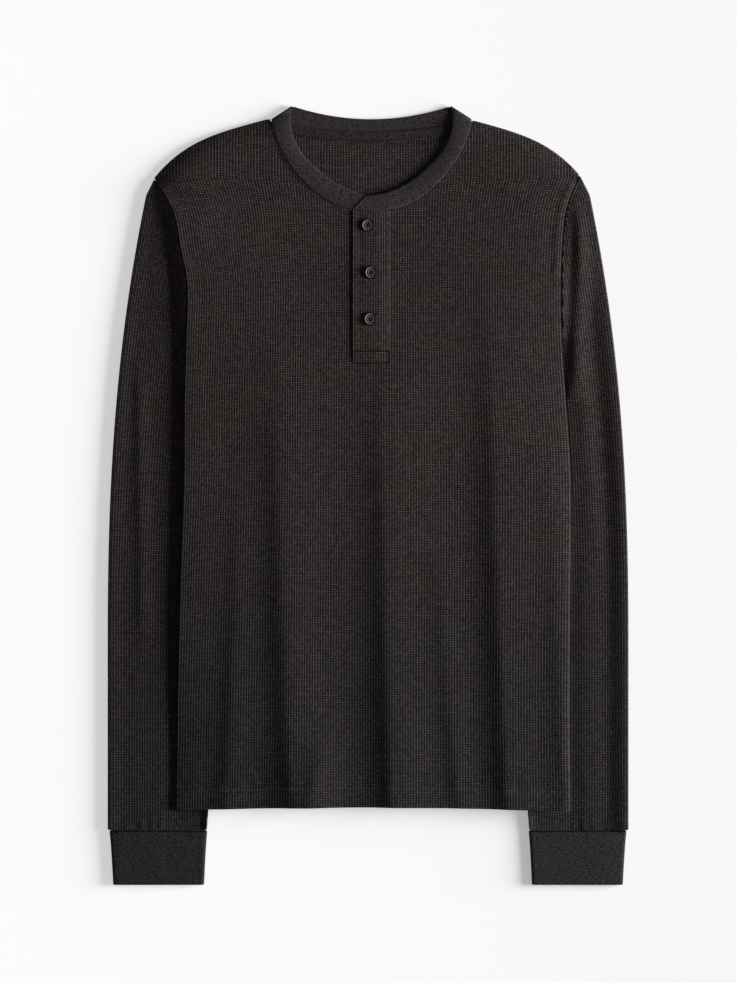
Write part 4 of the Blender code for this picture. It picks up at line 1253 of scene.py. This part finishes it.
CUFF_START, CUFF_LENGTH, CUFF_HEIGHT = -334.5, 54.5, 5.4
LEAST_HEIGHT = 1.2
AROUND = 132

# Inner and outer side of a cuff, at its seam and at its open end
CUFF_SEAM_SIDES, CUFF_END_SIDES = (160.5, 259.0), (164.0, 255.0)

cuff_rib = rib_material("fine_rib_cuffs", (0.0212, 0.0205, 0.0212), (0.0220, 0.0208, 0.0204))


def flat_ring(low, high, height, y, wobble):
    """A flattened ring: straight above and below, round at its two ends."""
    radius = height / 2
    straight = high - low - 2 * radius
    total = 2 * straight + math.tau * radius
    place = np.arange(AROUND) / AROUND * total
    angle = np.clip((place - straight) / radius, 0, math.pi)
    angle_back = np.clip((place - 2 * straight - math.pi * radius) / radius, 0, math.pi)
    x = np.where(place < straight + math.pi * radius,
                 low + radius + np.minimum(place, straight) + radius * np.sin(angle),
                 high - radius - np.clip(place - straight - math.pi * radius, 0, straight)
                 - radius * np.sin(angle_back))
    z = np.where(place < straight + math.pi * radius, radius * (1 + np.cos(angle)),
                 radius * (1 - np.cos(angle_back)))
    z = z + wobble(x, y) * (z > height - 0.01)
    return np.stack([x, np.full(AROUND, y), z], 1), place


def make_cuff(name, sign, node):
    """One skin: from under the sleeve down the outside, round the fold and back up inside."""
    def wobble(x, y):
        down = (CUFF_START - y) / CUFF_LENGTH
        draw = 0.3 * np.sin(x / 9.5 + sign) * np.sin(x / 4.1) * bell(down, 0.15) + 0.2 * np.sin(x / 31)
        return draw * ease((x - 163) / 8) * ease((255 - x) / 8)

    rings, cloth, run = [], [], 0.0
    # How far down the cuff each ring is, and how far it is drawn inside the outer face
    stations = [(-4.5, 1.9), (0.0, 1.8), (0.25, 1.0), (0.7, 0.35), (1.5, 0.05)]
    stations += [(down, 0.0) for down in np.linspace(2.5, CUFF_LENGTH - 1.2, 26)]
    stations += [(CUFF_LENGTH - 1 + math.sin(a), 1 - math.cos(a)) for a in np.linspace(0.4, 2.8, 7)]
    stations += [(CUFF_LENGTH - 1.6 - back, 1.95) for back in np.linspace(0, 18, 7)]
    last = None
    for down, inset in stations:
        share = max(down, 0) / CUFF_LENGTH
        low, high = (mix(*ends, share**0.7) for ends in zip(CUFF_SEAM_SIDES, CUFF_END_SIDES))
        height = max(CUFF_HEIGHT - 2 * inset, LEAST_HEIGHT)
        ring, place = flat_ring(low + inset, high - inset, height, CUFF_START - down, wobble)
        ring[:, 2] += (CUFF_HEIGHT - height) / 2
        run += 0 if last is None else math.hypot(down - last[0], inset - last[1])
        last = (down, inset)
        rings.append(ring * (sign, 1, 1))
        cloth.append(np.stack([place, np.full(AROUND, run)], 1))
    faces = grid_faces(len(rings), AROUND, closed=True)
    if sign > 0:
        faces = faces[:, ::-1]
    piece = new_piece(name, np.concatenate(rings), np.concatenate(cloth), faces, cuff_rib, node)
    out = np.linspace(162, 258, 80)
    # These near-black stitches are painted shade, the shadowed line where sleeve and cuff meet.
    path = np.stack([sign * out, np.full(80, CUFF_START - 0.9), np.full(80, CUFF_HEIGHT - 0.25)], 1)
    seam = new_piece(name + "_seam", *stitch_row(path, 3.0, 0.1, 1.5, 0.5), thread_painted_groove_shade)


make_cuff("left_cuff", -1, "cuff_left")
make_cuff("right_cuff", 1, "cuff_right")

# Table, light and camera
# A white table top, one wide low light from the right and an even white surround, with the
# camera straight above. Its places are in metres.

lamp_place = Vector((2.9, 0.0, 0.777))
LAMP_POWER, LAMP_WIDE = 203.0, 1.48
TABLE_WHITE, TABLE_GLOW, SURROUND = 0.8, 0.88, 0.13
TABLE_SIZE, TABLE_LEVEL = 14, -0.0004
camera_place = (0.0005, 0.0045, 2.735)


def table_material():
    """Matt white board with a glow of its own, which evens out how the lamp fades across it."""
    material = bpy.data.materials.new("white_table")
    material.use_nodes = True
    tree = material.node_tree
    shader = tree.nodes["Principled BSDF"]
    place = add_node(tree, "ShaderNodeTexCoord", {}, {}).outputs["Object"]
    grain = add_node(tree, "ShaderNodeTexNoise", {}, {"Vector": place, "Scale": 220.0, "Detail": 2.0})
    here = add_node(tree, "ShaderNodeNewGeometry", {}, {}).outputs["Position"]
    away = add_node(tree, "ShaderNodeVectorMath", {"operation": "DISTANCE"},
                    {0: here, 1: tuple(lamp_place)}).outputs["Value"]
    lit = calc(tree, "DIVIDE", TABLE_WHITE * LAMP_POWER * lamp_place.z / math.pi**2,
               calc(tree, "POWER", away, 3.0))
    set_inputs(tree, shader, {
        "Base Color": (TABLE_WHITE, TABLE_WHITE, TABLE_WHITE, 1),
        "Roughness": ramp(tree, grain.outputs[0], 0.3, 0.7, 0.9, 1.0),
        "Specular IOR Level": 0.0,
        "Emission Color": (1, 1, 1, 1),
        "Emission Strength": calc(tree, "MAXIMUM", calc(tree, "SUBTRACT", TABLE_GLOW, lit), 0.0),
    })
    return material


bpy.ops.mesh.primitive_plane_add(size=TABLE_SIZE, location=(0, 0, TABLE_LEVEL))
table = bpy.context.object
table.name = "table_top"
table.data.materials.append(table_material())

world = bpy.data.worlds.new("white_surround")
world.use_nodes = True
set_inputs(world.node_tree, world.node_tree.nodes["Background"],
           {"Color": (1, 1, 1, 1), "Strength": SURROUND})
bpy.context.scene.world = world

lamp = bpy.data.lights.new("low_key", "AREA")
lamp.shape = "DISK"
lamp.size = LAMP_WIDE
lamp.energy = LAMP_POWER
key = placed("low_key", lamp)
key.rotation_euler = (-lamp_place).to_track_quat("-Z", "Y").to_euler()
key.location = lamp_place

eye = bpy.data.cameras.new("above")
eye.lens = 100
eye.sensor_fit = "VERTICAL"
eye.sensor_height = 36
eye.sensor_width = 36
camera = placed("above", eye)
camera.location = camera_place
bpy.context.scene.camera = camera
bpy.context.scene.view_settings.view_transform = "Standard"
